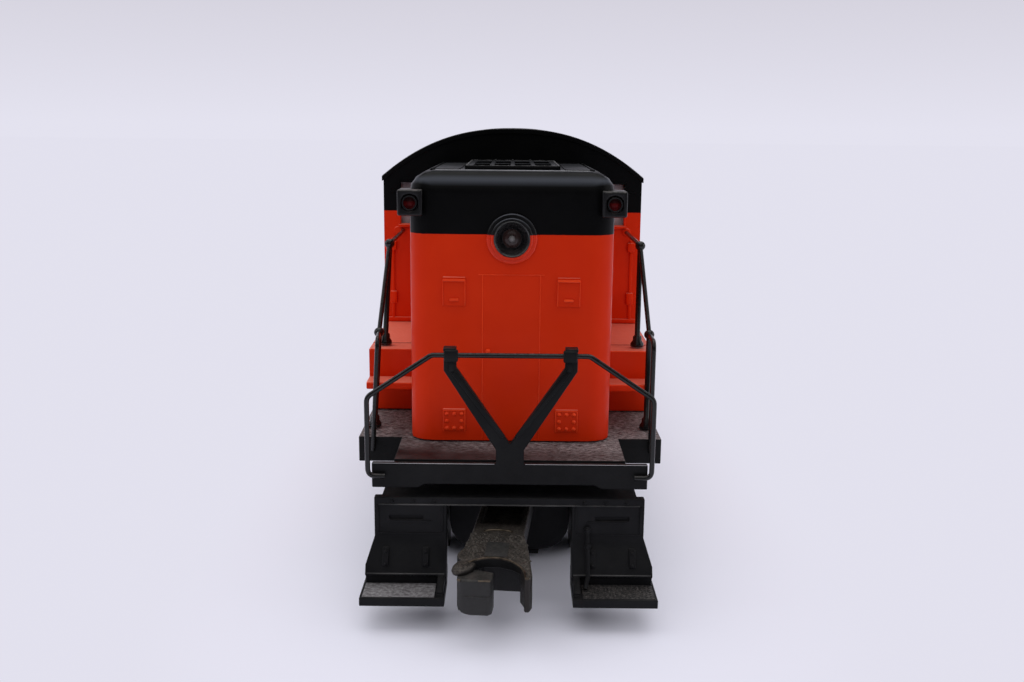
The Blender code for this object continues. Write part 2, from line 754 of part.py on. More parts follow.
def build_end_beams():
    for name, end in both_ends():
        low, high = span(end * BEAM_BACK, end * BEAM_FRONT)
        beam = add_part(f"{name}_end_beam", prism(brace_outline(), "Y", low, high), BLACK_PLASTIC)
        rail = DECK_TOP + END_RAIL_HEIGHT
        clip_low = rail + WIRE / 2 + SEAT_GAP
        low, high = span(end * (BEAM_FRONT - BEAM_PLATE / 2), end * (BEAM_FRONT + SEAT_GAP + WIRE))
        for _, side in both_sides():
            left, right = span(
                side * (BRACE_SPREAD / 2 - BRACE_STRAP / 2), side * (BRACE_SPREAD / 2 + BRACE_STRAP / 2)
            )
            join(beam, box((left, low, clip_low), (right, high, clip_low + BRACE_CLIP)))


def build_end_rails():
    for name, end in both_ends():
        y = end * (BEAM_FRONT + SEAT_GAP + WIRE / 2)
        side = END_RAIL_WIDTH / 2
        foot = DECK_TOP - END_RAIL_FOOT
        half = [
            (side - END_RAIL_HOOK, y, foot),
            (side, y, foot),
            (side, y, DECK_TOP + END_RAIL_SHOULDER),
            (END_RAIL_TOP / 2, y, DECK_TOP + END_RAIL_HEIGHT),
        ]
        points = half + [(-x, y, z) for x, y, z in reversed(half)]
        add_part(f"{name}_end_rail", wire(points), WIRE_BLACK, smooth=True)


def build_side_rails():
    """A wire rail with its posts on each side of the short hood and of the long hood."""
    rail_z = DECK_TOP + SIDE_RAIL_HEIGHT
    foot_z = DECK_TOP - SIDE_RAIL_FOOT
    cab_z = DECK_TOP + CAB_RAIL_HEIGHT
    step_post = BOX_FACE + STEP_POST_SETBACK
    end_post = DECK_END - END_POST_SETBACK
    for name, side in both_sides():
        x = side * SIDE_RAIL_X
        step_x = side * STEP_RAIL_WIDTH / 2
        front = add_part(
            f"{name}_step_rail",
            wire(
                [
                    (x, -SIDE_RAIL_Y, foot_z),
                    (x, -SIDE_RAIL_Y, rail_z),
                    (x, -end_post, rail_z),
                    (step_x, step_post, cab_z),
                    (step_x, CAB_FRONT - SEAT_GAP, cab_z),
                ]
            ),
            WIRE_BLACK,
            smooth=True,
        )
        step_top = SEAT + BOX_HEIGHT + SEAT_GAP
        join(
            front,
            post((x, -end_post, SEAT), rail_z - SEAT),
            post((step_x, step_post, step_top), cab_z - step_top),
        )
        back = add_part(
            f"{name}_walkway_rail",
            wire(
                [
                    (x, SIDE_RAIL_Y, foot_z),
                    (x, SIDE_RAIL_Y, rail_z),
                    (x, CAB_REAR + SEAT_GAP, rail_z),
                ]
            ),
            WIRE_BLACK,
            smooth=True,
        )
        last_post = CAB_REAR + LONG_RAIL_LAST_POST
        pitch = (end_post - last_post) / (LONG_RAIL_POSTS - 1)
        for i in range(LONG_RAIL_POSTS):
            join(back, post((x, end_post - i * pitch, SEAT), rail_z - SEAT))


def hood_form(half_width, open_y, end_y, low_z, high_z, rounding):
    """A hood: a box with its roof edges and its two corners at end_y rounded, square at open_y."""
    near = WELD
    bm = bmesh.new()
    low, high = span(open_y, end_y)
    bm.from_mesh(box((-half_width, low, low_z), (half_width, high, high_z)))
    edges = []
    for edge in bm.edges:
        at_end = all(abs(v.co.y - end_y) < near for v in edge.verts)
        at_open = all(abs(v.co.y - open_y) < near for v in edge.verts)
        at_top = all(abs(v.co.z - high_z) < near for v in edge.verts)
        at_base = all(abs(v.co.z - low_z) < near for v in edge.verts)
        if (at_top and not at_open) or (at_end and not at_base):
            edges.append(edge)
    bmesh.ops.bevel(
        bm,
        geom=edges,
        offset=rounding,
        offset_type="OFFSET",
        segments=ARC_STEPS,
        profile=0.5,
        affect="EDGES",
    )
    return mesh_of(bm)


def add_hood(name, open_y, end):
    """The outer form of a hood, and the cutter for its inside."""
    face = end * HOOD_FACE
    half = HOOD_WIDTH / 2
    toward_open = -end
    hood = add_part(
        name, hood_form(half, open_y, face, SEAT, HOOD_TOP, HOOD_ROUNDING), PAINT, smooth=True
    )
    inside = hood_form(
        half - HOOD_WALL,
        open_y + toward_open * THROUGH,
        face + toward_open * HOOD_WALL,
        SEAT - THROUGH,
        HOOD_TOP - HOOD_WALL,
        HOOD_ROUNDING - HOOD_WALL,
    )
    return hood, inside


def face_panel(end, side, centre_x, base_z, width, height):
    """A thin raised panel on the face of a hood."""
    left, right = span(side * (centre_x - width / 2), side * (centre_x + width / 2))
    low, high = span(end * (HOOD_FACE - OVERLAP), end * (HOOD_FACE + FACE_DETAIL))
    return box((left, low, base_z), (right, high, base_z + height))


def headlight_ring(end):
    """The stepped ring moulded round a headlight."""
    profile = [
        (0.0, HEADLIGHT_STEP_HEIGHT),
        (HEADLIGHT_STEP_RADIUS, HEADLIGHT_STEP_HEIGHT),
        (HEADLIGHT_STEP_RADIUS, HEADLIGHT_RING_HEIGHT),
        (HEADLIGHT_RING_RADIUS, HEADLIGHT_RING_HEIGHT),
        (HEADLIGHT_RING_RADIUS, -OVERLAP),
        (0.0, -OVERLAP),
    ]
    return turned_outwards(profile, end, (0, end * HOOD_FACE, SEAT + HEADLIGHT_HEIGHT))


def turned_outwards(profile, end, centre, sides=ROUND_SIDES):
    """A profile turned about Y, with its stations rising towards an end of the locomotive."""
    mesh = turned(profile, "Y", (0, 0, 0), sides)
    # The extrusion along Y leads to -Y, so the rear end takes half a turn
    facing = Matrix.Rotation(0.0 if end < 0 else math.pi, 4, "Z")
    mesh.transform(Matrix.Translation(centre) @ facing)
    return mesh


def dress_hood_face(hood, end):
    """What both hood faces carry: hatches, sand plates and the headlight ring with its hole."""
    panels = []
    centre = HATCH_SPACING / 2
    for _, side in both_sides():
        panels.append(face_panel(end, side, centre, SEAT + HATCH_BASE, HATCH_WIDTH, HATCH_HEIGHT))
        panels.append(face_panel(end, side, centre, SEAT + SAND_PLATE_BASE, SAND_PLATE, SAND_PLATE))
    join(hood, group(*panels), headlight_ring(end))


def headlight_hole(end):
    height = SEAT + HEADLIGHT_HEIGHT
    return rod(
        (0, end * (HOOD_FACE - HOOD_WALL - THROUGH), height),
        (0, end * (HOOD_FACE + HEADLIGHT_STEP_HEIGHT + THROUGH), height),
        HEADLIGHT_LENS_RADIUS + RUNNING_GAP,
    )


def battery_box(side):
    """One battery box with its step, overhanging a toe recess."""
    half = HOOD_WIDTH / 2
    left, right = span(side * (half - OVERLAP), side * (half + BOX_REACH))
    back = CAB_FRONT - SEAT_GAP
    riser = BOX_FACE + TOE_RECESS
    top = SEAT + BOX_HEIGHT
    step = SEAT + STEP_HEIGHT
    profile = [
        (back, SEAT),
        (back, top),
        (BOX_FACE, top),
        (BOX_FACE, step),
        (BOX_FACE - STEP_REACH, step),
        (BOX_FACE - STEP_REACH, step - STEP_PLATE),
        (riser, step - STEP_PLATE),
        (riser, SEAT),
    ]
    return prism(profile, "X", left, right)


def battery_box_hollow(side):
    """The space inside a battery box, open to the hood, the cab and the deck."""
    half = HOOD_WIDTH / 2
    left, right = span(side * (half - HOOD_WALL - THROUGH), side * (half + BOX_REACH - HOOD_WALL))
    return box(
        (left, BOX_FACE + TOE_RECESS + HOOD_WALL, SEAT - THROUGH),
        (right, CAB_FRONT - SEAT_GAP + THROUGH, SEAT + BOX_HEIGHT - HOOD_WALL),
    )


def roof_vent():
    """The raised grille on the roof of the short hood, and the cutters for its cells."""
    front = -HOOD_FACE + VENT_FROM_FACE
    half = VENT_WIDTH / 2
    frame = box(
        (-half, front, HOOD_TOP - OVERLAP), (half, front + VENT_LENGTH, HOOD_TOP + VENT_HEIGHT)
    )
    inner_width = VENT_WIDTH - 2 * VENT_FRAME
    inner_length = VENT_LENGTH - 2 * VENT_FRAME
    cell_width = (inner_width - (VENT_COLUMNS - 1) * VENT_BAR) / VENT_COLUMNS
    cell_length = (inner_length - (VENT_ROWS - 1) * VENT_BAR) / VENT_ROWS
    floor = HOOD_TOP + VENT_HEIGHT - VENT_DEPTH
    cells = []
    for column in range(VENT_COLUMNS):
        for row in range(VENT_ROWS):
            x = -inner_width / 2 + column * (cell_width + VENT_BAR)
            y = front + VENT_FRAME + row * (cell_length + VENT_BAR)
            cells.append(
                box((x, y, floor), (x + cell_width, y + cell_length, HOOD_TOP + VENT_HEIGHT + THROUGH))
            )
    return frame, group(*cells)


def build_short_hood():
    """The short hood moulding with the battery boxes and steps at its sides."""
    open_y = -HOOD_FACE + SHORT_HOOD_LENGTH
    hood, inside = add_hood("short_hood", open_y, -1)
    for _, side in both_sides():
        join(hood, battery_box(side))
    dress_hood_face(hood, -1)
    frame, cells = roof_vent()
    join(hood, frame)
    for _, side in both_sides():
        cut(hood, battery_box_hollow(side))
    cut(hood, inside, cells, headlight_hole(-1))


def side_doors(side):
    """Raised engine-room doors along one side of the long hood."""
    wall = side * HOOD_WIDTH / 2
    left, right = span(wall - side * OVERLAP, wall + side * FACE_DETAIL)
    doors = []
    for i in range(DOOR_COUNT):
        y = CAB_REAR + DOOR_START + i * DOOR_PITCH
        low = SEAT + DOOR_BASE
        doors.append(box((left, y, low), (right, y + DOOR_WIDTH, low + DOOR_HEIGHT)))
    return group(*doors)


def side_shutters(side):
    """The slats of a radiator shutter near the end of the long hood."""
    wall = side * HOOD_WIDTH / 2
    left, right = span(wall - side * OVERLAP, wall + side * FACE_DETAIL)
    end = HOOD_FACE - SHUTTER_FROM_END
    slats = []
    for i in range(SHUTTER_SLATS):
        low = SEAT + SHUTTER_BASE + i * SHUTTER_PITCH
        slats.append(box((left, end - SHUTTER_LENGTH, low), (right, end, low + SHUTTER_SLAT)))
    return group(*slats)


def roof_fan():
    """The radiator fan's raised rim, the well inside it, and the spokes of its guard."""
    centre = (0, HOOD_FACE - FAN_FROM_END, HOOD_TOP)
    rim = turned(
        [(0.0, FAN_HEIGHT), (FAN_RADIUS, FAN_HEIGHT), (FAN_RADIUS, -OVERLAP), (0.0, -OVERLAP)],
        "Z",
        centre,
        WHEEL_SIDES,
    )
    well_radius = FAN_RADIUS - FAN_RIM
    floor = FAN_HEIGHT - FAN_DEPTH
    over = FAN_HEIGHT + THROUGH
    well = turned(
        [(0.0, over), (well_radius, over), (well_radius, floor), (0.0, floor)],
        "Z",
        centre,
        WHEEL_SIDES,
    )
    hub = turned(
        [
            (0.0, FAN_HEIGHT - FAN_SPOKE / 4),
            (FAN_HUB_RADIUS, FAN_HEIGHT - FAN_SPOKE / 4),
            (FAN_HUB_RADIUS, floor - OVERLAP / 2),
            (0.0, floor - OVERLAP / 2),
        ],
        "Z",
        centre,
        FAN_SPOKES,
    )
    spokes = []
    for i in range(FAN_SPOKES // 2):
        spoke = box(
            (-well_radius - OVERLAP, -FAN_SPOKE / 2, FAN_HEIGHT - FAN_SPOKE),
            (well_radius + OVERLAP, FAN_SPOKE / 2, FAN_HEIGHT - FAN_SPOKE / 2),
        )
        turn = Matrix.Rotation(2 * math.pi * i / FAN_SPOKES, 4, "Z")
        spoke.transform(Matrix.Translation(centre) @ turn)
        spokes.append(spoke)
    return rim, well, hub, spokes


def exhaust_stack():
    """The low exhaust stack on the long hood, and the cutter for its mouth."""
    y = CAB_REAR + STACK_FROM_CAB
    half_length = STACK_LENGTH / 2
    half_width = STACK_WIDTH / 2
    outer = box(
        (-half_width, y - half_length, HOOD_TOP - OVERLAP),
        (half_width, y + half_length, HOOD_TOP + STACK_HEIGHT),
    )
    mouth = box(
        (-half_width + STACK_WALL, y - half_length + STACK_WALL, HOOD_TOP + OVERLAP),
        (half_width - STACK_WALL, y + half_length - STACK_WALL, HOOD_TOP + STACK_HEIGHT + THROUGH),
    )
    return outer, mouth


def build_long_hood():
    """The long hood moulding with its doors, shutters, exhaust stack and fan."""
    hood, inside = add_hood("long_hood", CAB_REAR + SEAT_GAP, 1)
    dress_hood_face(hood, 1)
    for _, side in both_sides():
        join(hood, side_doors(side), side_shutters(side))
    rim, well, hub, spokes = roof_fan()
    stack, mouth = exhaust_stack()
    join(hood, rim, stack)
    cut(hood, inside, well, mouth, headlight_hole(1))
    join(hood, hub, *spokes)


def roof_arch(lowered, half_width):
    """The points of the cab roof's arch from its left edge to its right one, lowered into the roof."""
    points = []
    for i in range(ROOF_STEPS + 1):
        x = half_width * (1 - 2 * i / ROOF_STEPS)
        drop = CAB_ROOF_RISE * (abs(x) / (CAB_WIDTH / 2)) ** CAB_ROOF_FULLNESS
        points.append((x, CAB_CROWN - lowered - drop))
    return points


def cab_outline(inset, base):
    """The cab's section, inside its walls by an inset."""
    half = CAB_WIDTH / 2 - inset
    return [(half, base), *roof_arch(CAB_ROOF_STEP + inset, half), (-half, base)]


def end_windows(wall_y):
    """Cutters for the two windows beside a hood."""
    outer = CAB_WIDTH / 2 - END_WINDOW_INSET
    base = SEAT + END_WINDOW_BASE
    cutters_made = []
    for _, side in both_sides():
        left, right = span(side * (outer - END_WINDOW_WIDTH), side * outer)
        cutters_made.append(
            box(
                (left, wall_y - CAB_WALL - THROUGH, base),
                (right, wall_y + CAB_WALL + THROUGH, base + END_WINDOW_HEIGHT),
            )
        )
    return cutters_made


def side_windows():
    """Cutters for the paired windows in the cab's sides."""
    middle = (CAB_FRONT + CAB_REAR) / 2
    half = CAB_WIDTH / 2
    base = SEAT + SIDE_WINDOW_BASE
    made = []
    for near in (middle - SIDE_WINDOW_POST / 2 - SIDE_WINDOW_WIDTH, middle + SIDE_WINDOW_POST / 2):
        made.append(
            box(
                (-half - THROUGH, near, base),
                (half + THROUGH, near + SIDE_WINDOW_WIDTH, base + SIDE_WINDOW_HEIGHT),
            )
        )
    return made


def build_cab():
    """The full-width cab moulding with its arched roof, and the clear glazing insert inside it."""
    cab = add_part("cab", prism(cab_outline(0, SEAT), "Y", CAB_FRONT, CAB_REAR), PAINT, smooth=True)
    edge = CAB_WIDTH / 2 + CAB_DRIP
    skin = roof_arch(0, edge) + list(reversed(roof_arch(CAB_ROOF_SKIN, edge)))
    join(cab, prism(skin, "Y", CAB_FRONT - CAB_DRIP, CAB_REAR + CAB_DRIP))
    inside = prism(cab_outline(CAB_WALL, SEAT - THROUGH), "Y", CAB_FRONT + CAB_WALL, CAB_REAR - CAB_WALL)
    passage = HOOD_WIDTH / 2 - HOOD_WALL
    cut(
        cab,
        inside,
        box(
            (-passage, CAB_FRONT - THROUGH, SEAT - THROUGH),
            (passage, CAB_REAR + THROUGH, HOOD_TOP - HOOD_WALL),
        ),
        *end_windows(CAB_FRONT),
        *end_windows(CAB_REAR),
        *side_windows(),
    )
    half = CAB_WIDTH / 2 - CAB_WALL - SEAT_GAP
    front = CAB_FRONT + CAB_WALL + SEAT_GAP
    rear = CAB_REAR - CAB_WALL - SEAT_GAP
    base = SEAT + min(SIDE_WINDOW_BASE, END_WINDOW_BASE) - GLASS_LAP
    top = SEAT + max(SIDE_WINDOW_BASE + SIDE_WINDOW_HEIGHT, END_WINDOW_BASE + END_WINDOW_HEIGHT) + GLASS_LAP
    glazing = add_part("cab_glazing", box((-half, front, base), (half, rear, top)), CLEAR_GLASS)
    cut(
        glazing,
        box(
            (-half + GLASS, front + GLASS, base - THROUGH),
            (half - GLASS, rear - GLASS, top + THROUGH),
        ),
    )


def build_headlights():
    """A lens with its bulb behind it, in the hole of each headlight ring."""
    face = HEADLIGHT_STEP_HEIGHT - HEADLIGHT_LENS_RECESS
    back = face - HEADLIGHT_LENS_DEPTH
    profile = [
        (0.0, face),
        (HEADLIGHT_LENS_RADIUS, face),
        (HEADLIGHT_LENS_RADIUS, back),
        (HEADLIGHT_BULB_RADIUS, back),
        (HEADLIGHT_BULB_RADIUS, back - HEADLIGHT_BULB_LENGTH),
        (0.0, back - HEADLIGHT_BULB_LENGTH),
    ]
    for name, end in both_ends():
        centre = (0, end * HOOD_FACE, SEAT + HEADLIGHT_HEIGHT)
        lens = turned_outwards(profile, end, centre, PIN_SIDES)
        add_part(f"{name}_headlight", lens, CLEAR_GLASS, smooth=True)


def build_marker_lights():
    """A square lamp housing wrapped round each upper corner of the hoods, with a red lens."""
    base = SEAT + MARKER_BASE
    outer = HOOD_WIDTH / 2 + MARKER_OUTSET
    front = HOOD_FACE + MARKER_STANDOFF
    middle = outer - MARKER_WIDTH / 2
    centre_z = base + MARKER_HEIGHT / 2
    for end_name, end in both_ends():
        grown_end = end * (HOOD_FACE + SEAT_GAP)
        for side_name, side in both_sides():
            left, right = span(side * (outer - MARKER_WIDTH), side * outer)
            low, high = span(end * front, end * (front - MARKER_DEPTH))
            name = f"{end_name}_{side_name}_marker"
            housing = add_part(
                f"{name}_housing", box((left, low, base), (right, high, base + MARKER_HEIGHT)), BLACK_PLASTIC
            )
            hood_shape = hood_form(
                HOOD_WIDTH / 2 + SEAT_GAP,
                grown_end - end * SHORT_HOOD_LENGTH / 2,
                grown_end,
                SEAT,
                HOOD_TOP + SEAT_GAP,
                HOOD_ROUNDING + SEAT_GAP,
            )
            face = (side * middle, end * front, centre_z)
            socket_depth = MARKER_LENS_RECESS + MARKER_LENS_DEPTH + SEAT_GAP
            socket_radius = MARKER_LENS_RADIUS + RUNNING_GAP
            socket = turned_outwards(
                [
                    (0.0, THROUGH),
                    (socket_radius, THROUGH),
                    (socket_radius, -socket_depth),
                    (0.0, -socket_depth),
                ],
                end,
                face,
                PIN_SIDES,
            )
            cut(housing, hood_shape, socket)
            crown = -MARKER_LENS_RECESS
            lens = [
                (0.0, crown),
                (MARKER_LENS_RADIUS / 2, crown - MARKER_LENS_DEPTH / 8),
                (MARKER_LENS_RADIUS, crown - MARKER_LENS_DEPTH / 2),
                (MARKER_LENS_RADIUS, crown - MARKER_LENS_DEPTH),
                (0.0, crown - MARKER_LENS_DEPTH),
            ]
            add_part(f"{name}_lens", turned_outwards(lens, end, face, PIN_SIDES), RED_LENS, smooth=True)


def build_fuel_tank():
    """The fuel tank that hangs under the middle of the frame."""
    half = TANK_WIDTH / 2
    top = DECK_UNDERSIDE - SEAT_GAP
    corner = (half - TANK_ROUNDING, TANK_BOTTOM + TANK_ROUNDING)
    outline = mirrored([*arc(corner, TANK_ROUNDING, -90, 0, ARC_STEPS), (half, top)])
    tank = add_part(
        "fuel_tank", prism(outline, "Y", -TANK_LENGTH / 2, TANK_LENGTH / 2), BLACK_PLASTIC, smooth=True
    )
    rounding = TANK_ROUNDING + TANK_RIB
    corner = (half - TANK_ROUNDING, TANK_BOTTOM + TANK_ROUNDING)
    rib_top = DECK_TOP - SILL_DEPTH - SEAT_GAP
    rib = mirrored([*arc(corner, rounding, -90, 0, ARC_STEPS), (half + TANK_RIB, rib_top)])
    for place in (-1, 1):
        middle = place * TANK_LENGTH / 4
        join(tank, prism(rib, "Y", middle - TANK_RIB / 2, middle + TANK_RIB / 2))


def build_control_board():
    """The control board on four legs inside the long hood, with its transformer and capacitors."""
    rear = CAB_REAR + BOARD_FROM_CAB
    half = BOARD_WIDTH / 2
    low = SEAT + BOARD_STANDOFF
    high = low + BOARD_PLATE
    board = add_part("control_board", box((-half, rear, low), (half, rear + BOARD_LENGTH, high)), BOARD_GREEN)
    sunk = high - BOARD_PLATE / 2
    leg_x = half - 2 * BOARD_LEG_RADIUS
    for y in (rear + 2 * BOARD_LEG_RADIUS, rear + BOARD_LENGTH - 2 * BOARD_LEG_RADIUS):
        for x in (-leg_x, leg_x):
            join(board, rod((x, y, SEAT), (x, y, sunk), BOARD_LEG_RADIUS, SLIM_SIDES))
    middle = rear + BOARD_LENGTH / 2
    capacitor_y = middle - 2 * CAPACITOR_RADIUS
    join(
        board,
        box(
            (-TRANSFORMER_WIDTH / 2, middle, sunk),
            (TRANSFORMER_WIDTH / 2, middle + TRANSFORMER_LENGTH, high + TRANSFORMER_HEIGHT),
        ),
        rod((0, capacitor_y, sunk), (0, capacitor_y, high + CAPACITOR_HEIGHT), CAPACITOR_RADIUS),
    )


def gear_outline():
    """The worm wheel's teeth: straight flanks, with a gap centred on the first axis."""
    tooth = GEAR_TOOTH_SHARE * GEAR_PITCH
    slope = math.tan(FLANK_ANGLE)
    tip = tooth - 2 * GEAR_ADDENDUM * slope
    root = tooth + 2 * GEAR_DEDENDUM * slope
    root_radius = GEAR_PITCH_RADIUS - GEAR_DEDENDUM
    points = []
    for i in range(GEAR_TEETH):
        middle = 2 * math.pi * (i + 0.5) / GEAR_TEETH
        for radius, width, flank in (
            (root_radius, root, -1),
            (GEAR_TIP_RADIUS, tip, -1),
            (GEAR_TIP_RADIUS, tip, 1),
            (root_radius, root, 1),
        ):
            turn = middle + flank * width / 2 / radius
            points.append((radius * math.cos(turn), radius * math.sin(turn)))
    return points


def worm_wheel():
    """The helical wheel on the drive axle, twisted to follow the worm's thread."""
    wheel = prism(gear_outline(), "X", -GEAR_WIDTH / 2, GEAR_WIDTH / 2)
    lead_slope = GEAR_PITCH / (2 * math.pi * WORM_PITCH_RADIUS)
    for vertex in wheel.vertices:
        twist = lead_slope * vertex.co.x / GEAR_PITCH_RADIUS
        vertex.co = Matrix.Rotation(twist, 3, "X") @ vertex.co
    return wheel


def worm_thread():
    """A right-hand thread whose flank lies level with the drive axle on the side of the worm wheel."""
    slope = math.tan(FLANK_ANGLE)
    thread = WORM_THREAD_SHARE * GEAR_PITCH
    buried = WORM_ROOT_RADIUS - OVERLAP
    half_tip = thread / 2 - GEAR_ADDENDUM * slope
    half_base = thread / 2 + (WORM_PITCH_RADIUS - buried) * slope
    section = [
        (buried, half_base),
        (WORM_TIP_RADIUS, half_tip),
        (WORM_TIP_RADIUS, -half_tip),
        (buried, -half_base),
    ]
    mesh = bpy.data.meshes.new("thread")
    mesh.from_pydata([(r, 0.0, z) for r, z in section], [(0, 1), (1, 2), (2, 3), (3, 0)], [])
    obj = bpy.data.objects.new("thread", mesh)
    screw = obj.modifiers.new("helix", "SCREW")
    screw.axis = "Z"
    screw.angle = 2 * math.pi
    screw.screw_offset = GEAR_PITCH
    screw.iterations = WORM_TURNS
    screw.steps = THREAD_STEPS
    screw.render_steps = THREAD_STEPS
    helix = baked(obj)
    # The thread passes the -Y side a quarter turn before each whole turn
    middle = (WORM_TURNS // 2 + 0.75) * GEAR_PITCH
    helix.transform(Matrix.Translation((0, 0, AXLE_HEIGHT - middle)))
    return helix


def build_motor(name, truck):
    """The vertical can motor on the gear block, and its shaft with the worm and the flywheel."""
    bore = SHAFT_RADIUS + RUNNING_GAP
    can_top = MOTOR_TOP - MOTOR_BOSS_HEIGHT
    can = [
        (bore, MOTOR_TOP),
        (MOTOR_BOSS_RADIUS, MOTOR_TOP),
        (MOTOR_BOSS_RADIUS, can_top),
        (MOTOR_RADIUS - MOTOR_CHAMFER, can_top),
        (MOTOR_RADIUS, can_top - MOTOR_CHAMFER),
        (MOTOR_RADIUS, MOTOR_BASE),
        (bore, MOTOR_BASE),
    ]
    axis = add_empty(f"{name}_motor_axis", (0, SHAFT_Y, 0), truck)
    motor = turned(can, "Z", (0, 0, 0), bored=True)
    add_part(f"{name}_motor", motor, MOTOR_STEEL, axis, smooth=True)
    flywheel_base = MOTOR_TOP + SEAT_GAP
    flywheel_top = flywheel_base + FLYWHEEL_HEIGHT
    half_worm = WORM_TURNS * GEAR_PITCH / 2 + GEAR_PITCH / 2
    foot = COVER_TOP + THRUST_HEIGHT + SHAFT_END_GAP
    shaft = [
        (0.0, flywheel_top),
        (FLYWHEEL_RADIUS, flywheel_top),
        (FLYWHEEL_RADIUS, flywheel_base),
        (SHAFT_RADIUS, flywheel_base),
        (SHAFT_RADIUS, AXLE_HEIGHT + half_worm),
        (WORM_ROOT_RADIUS, AXLE_HEIGHT + half_worm),
        (WORM_ROOT_RADIUS, AXLE_HEIGHT - half_worm),
        (SHAFT_RADIUS, AXLE_HEIGHT - half_worm),
        (SHAFT_RADIUS, foot),
        (0.0, foot),
    ]
    turned_shaft = turned(shaft, "Z", (0, 0, 0), THREAD_STEPS)
    worm = add_part(f"{name}_worm_shaft", turned_shaft, GEAR_BRASS, axis, smooth=True)
    join(worm, worm_thread())


def block_outline():
    """The gear block's section across the truck, with a round bottom."""
    half = BLOCK_WIDTH / 2
    corner = (half - BLOCK_ROUNDING, BLOCK_BOTTOM + BLOCK_ROUNDING)
    return mirrored([*arc(corner, BLOCK_ROUNDING, -90, 0, ARC_STEPS), (half, BLOCK_TOP)])


def chamber_span():
    """The ends of the gear chamber along the truck."""
    return DRIVE_AXLE_Y - GEAR_TIP_RADIUS - CHAMBER_ROOM, SHAFT_Y + WORM_TIP_RADIUS + CHAMBER_ROOM


def pickup_pocket():
    """The pocket in the block's underside for the pickup, clear of its whole swing."""
    half = PICKUP_ROLLER_LENGTH / 2 + PICKUP_EAR + PICKUP_SIDE_ROOM
    low = PICKUP_PIVOT_Y - PICKUP_END_ROOM
    high = PICKUP_ROLLER_Y + PICKUP_ROLLER_RADIUS + PICKUP_END_ROOM
    return half, low, high


def build_gear_block(name, truck):
    """The die-cast block that carries the axles, the motor, the coupler and the pickup."""
    block = add_part(
        f"{name}_gear_block", prism(block_outline(), "Y", -BLOCK_FRONT, BLOCK_REAR), BLACK_METAL, truck
    )
    stud_top = DECK_TOP + SEAT_GAP + STUD_HEAD_HEIGHT
    pad_top = DECK_UNDERSIDE - SEAT_GAP
    swivel = [
        (0.0, stud_top),
        (STUD_HEAD_RADIUS, stud_top),
        (STUD_HEAD_RADIUS, DECK_TOP + SEAT_GAP),
        (STUD_RADIUS, DECK_TOP + SEAT_GAP),
        (STUD_RADIUS, pad_top),
        (PAD_RADIUS, pad_top),
        (PAD_RADIUS, BLOCK_TOP - OVERLAP),
        (0.0, BLOCK_TOP - OVERLAP),
    ]
    bolster_half = SIDEFRAME_INNER - SEAT_GAP
    shank_bottom = COUPLER_TOP - COUPLER_SHANK
    hook = [
        (0.0, TONGUE_BOTTOM + OVERLAP),
        (COUPLER_STUD_RADIUS, TONGUE_BOTTOM + OVERLAP),
        (COUPLER_STUD_RADIUS, shank_bottom - SEAT_GAP),
        (COUPLER_STUD_HEAD_RADIUS, shank_bottom - SEAT_GAP),
        (COUPLER_STUD_HEAD_RADIUS, shank_bottom - SEAT_GAP - COUPLER_STUD_HEAD),
        (0.0, shank_bottom - SEAT_GAP - COUPLER_STUD_HEAD),
    ]
    join(
        block,
        box(
            (-bolster_half, -BOLSTER_LENGTH / 2, BOLSTER_BOTTOM),
            (bolster_half, BOLSTER_LENGTH / 2, BOLSTER_TOP),
        ),
        turned(swivel, "Z", (0, 0, 0), PIN_SIDES),
        rod(
            (0, SHAFT_Y, BLOCK_TOP - OVERLAP),
            (0, SHAFT_Y, BLOCK_TOP + MOTOR_COLLAR_HEIGHT),
            MOTOR_COLLAR_RADIUS,
        ),
        box(
            (-TONGUE_WIDTH / 2, -TONGUE_REACH, TONGUE_BOTTOM),
            (TONGUE_WIDTH / 2, -BLOCK_FRONT + OVERLAP, PILOT_TOP - PILOT_BAR - SEAT_GAP),
        ),
        turned(hook, "Z", (0, -COUPLER_PIVOT, 0), PIN_SIDES),
    )
    chamber_low, chamber_high = chamber_span()
    chamber_half = WORM_TIP_RADIUS + CHAMBER_ROOM
    bore = AXLE_RADIUS + RUNNING_GAP
    reach = BLOCK_WIDTH / 2 + THROUGH
    pocket_half, pocket_low, pocket_high = pickup_pocket()
    pocket_top = PICKUP_PIVOT_Z + PICKUP_HEAD_ROOM
    pin_reach = pocket_half + PICKUP_SIDE_ROOM
    cut(
        block,
        box((-chamber_half, chamber_low, BLOCK_BOTTOM - THROUGH), (chamber_half, chamber_high, CHAMBER_TOP)),
        rod(
            (0, SHAFT_Y, CHAMBER_TOP - THROUGH),
            (0, SHAFT_Y, MOTOR_BASE + THROUGH),
            SHAFT_RADIUS + RUNNING_GAP,
        ),
        rod((-reach, DRIVE_AXLE_Y, AXLE_HEIGHT), (reach, DRIVE_AXLE_Y, AXLE_HEIGHT), bore),
        rod((-reach, IDLE_AXLE_Y, AXLE_HEIGHT), (reach, IDLE_AXLE_Y, AXLE_HEIGHT), bore),
        box((-pocket_half, pocket_low, BLOCK_BOTTOM - THROUGH), (pocket_half, pocket_high, pocket_top)),
        rod(
            (-pin_reach, PICKUP_PIVOT_Y, PICKUP_PIVOT_Z),
            (pin_reach, PICKUP_PIVOT_Y, PICKUP_PIVOT_Z),
            PICKUP_PIN_RADIUS + RUNNING_GAP,
        ),
    )


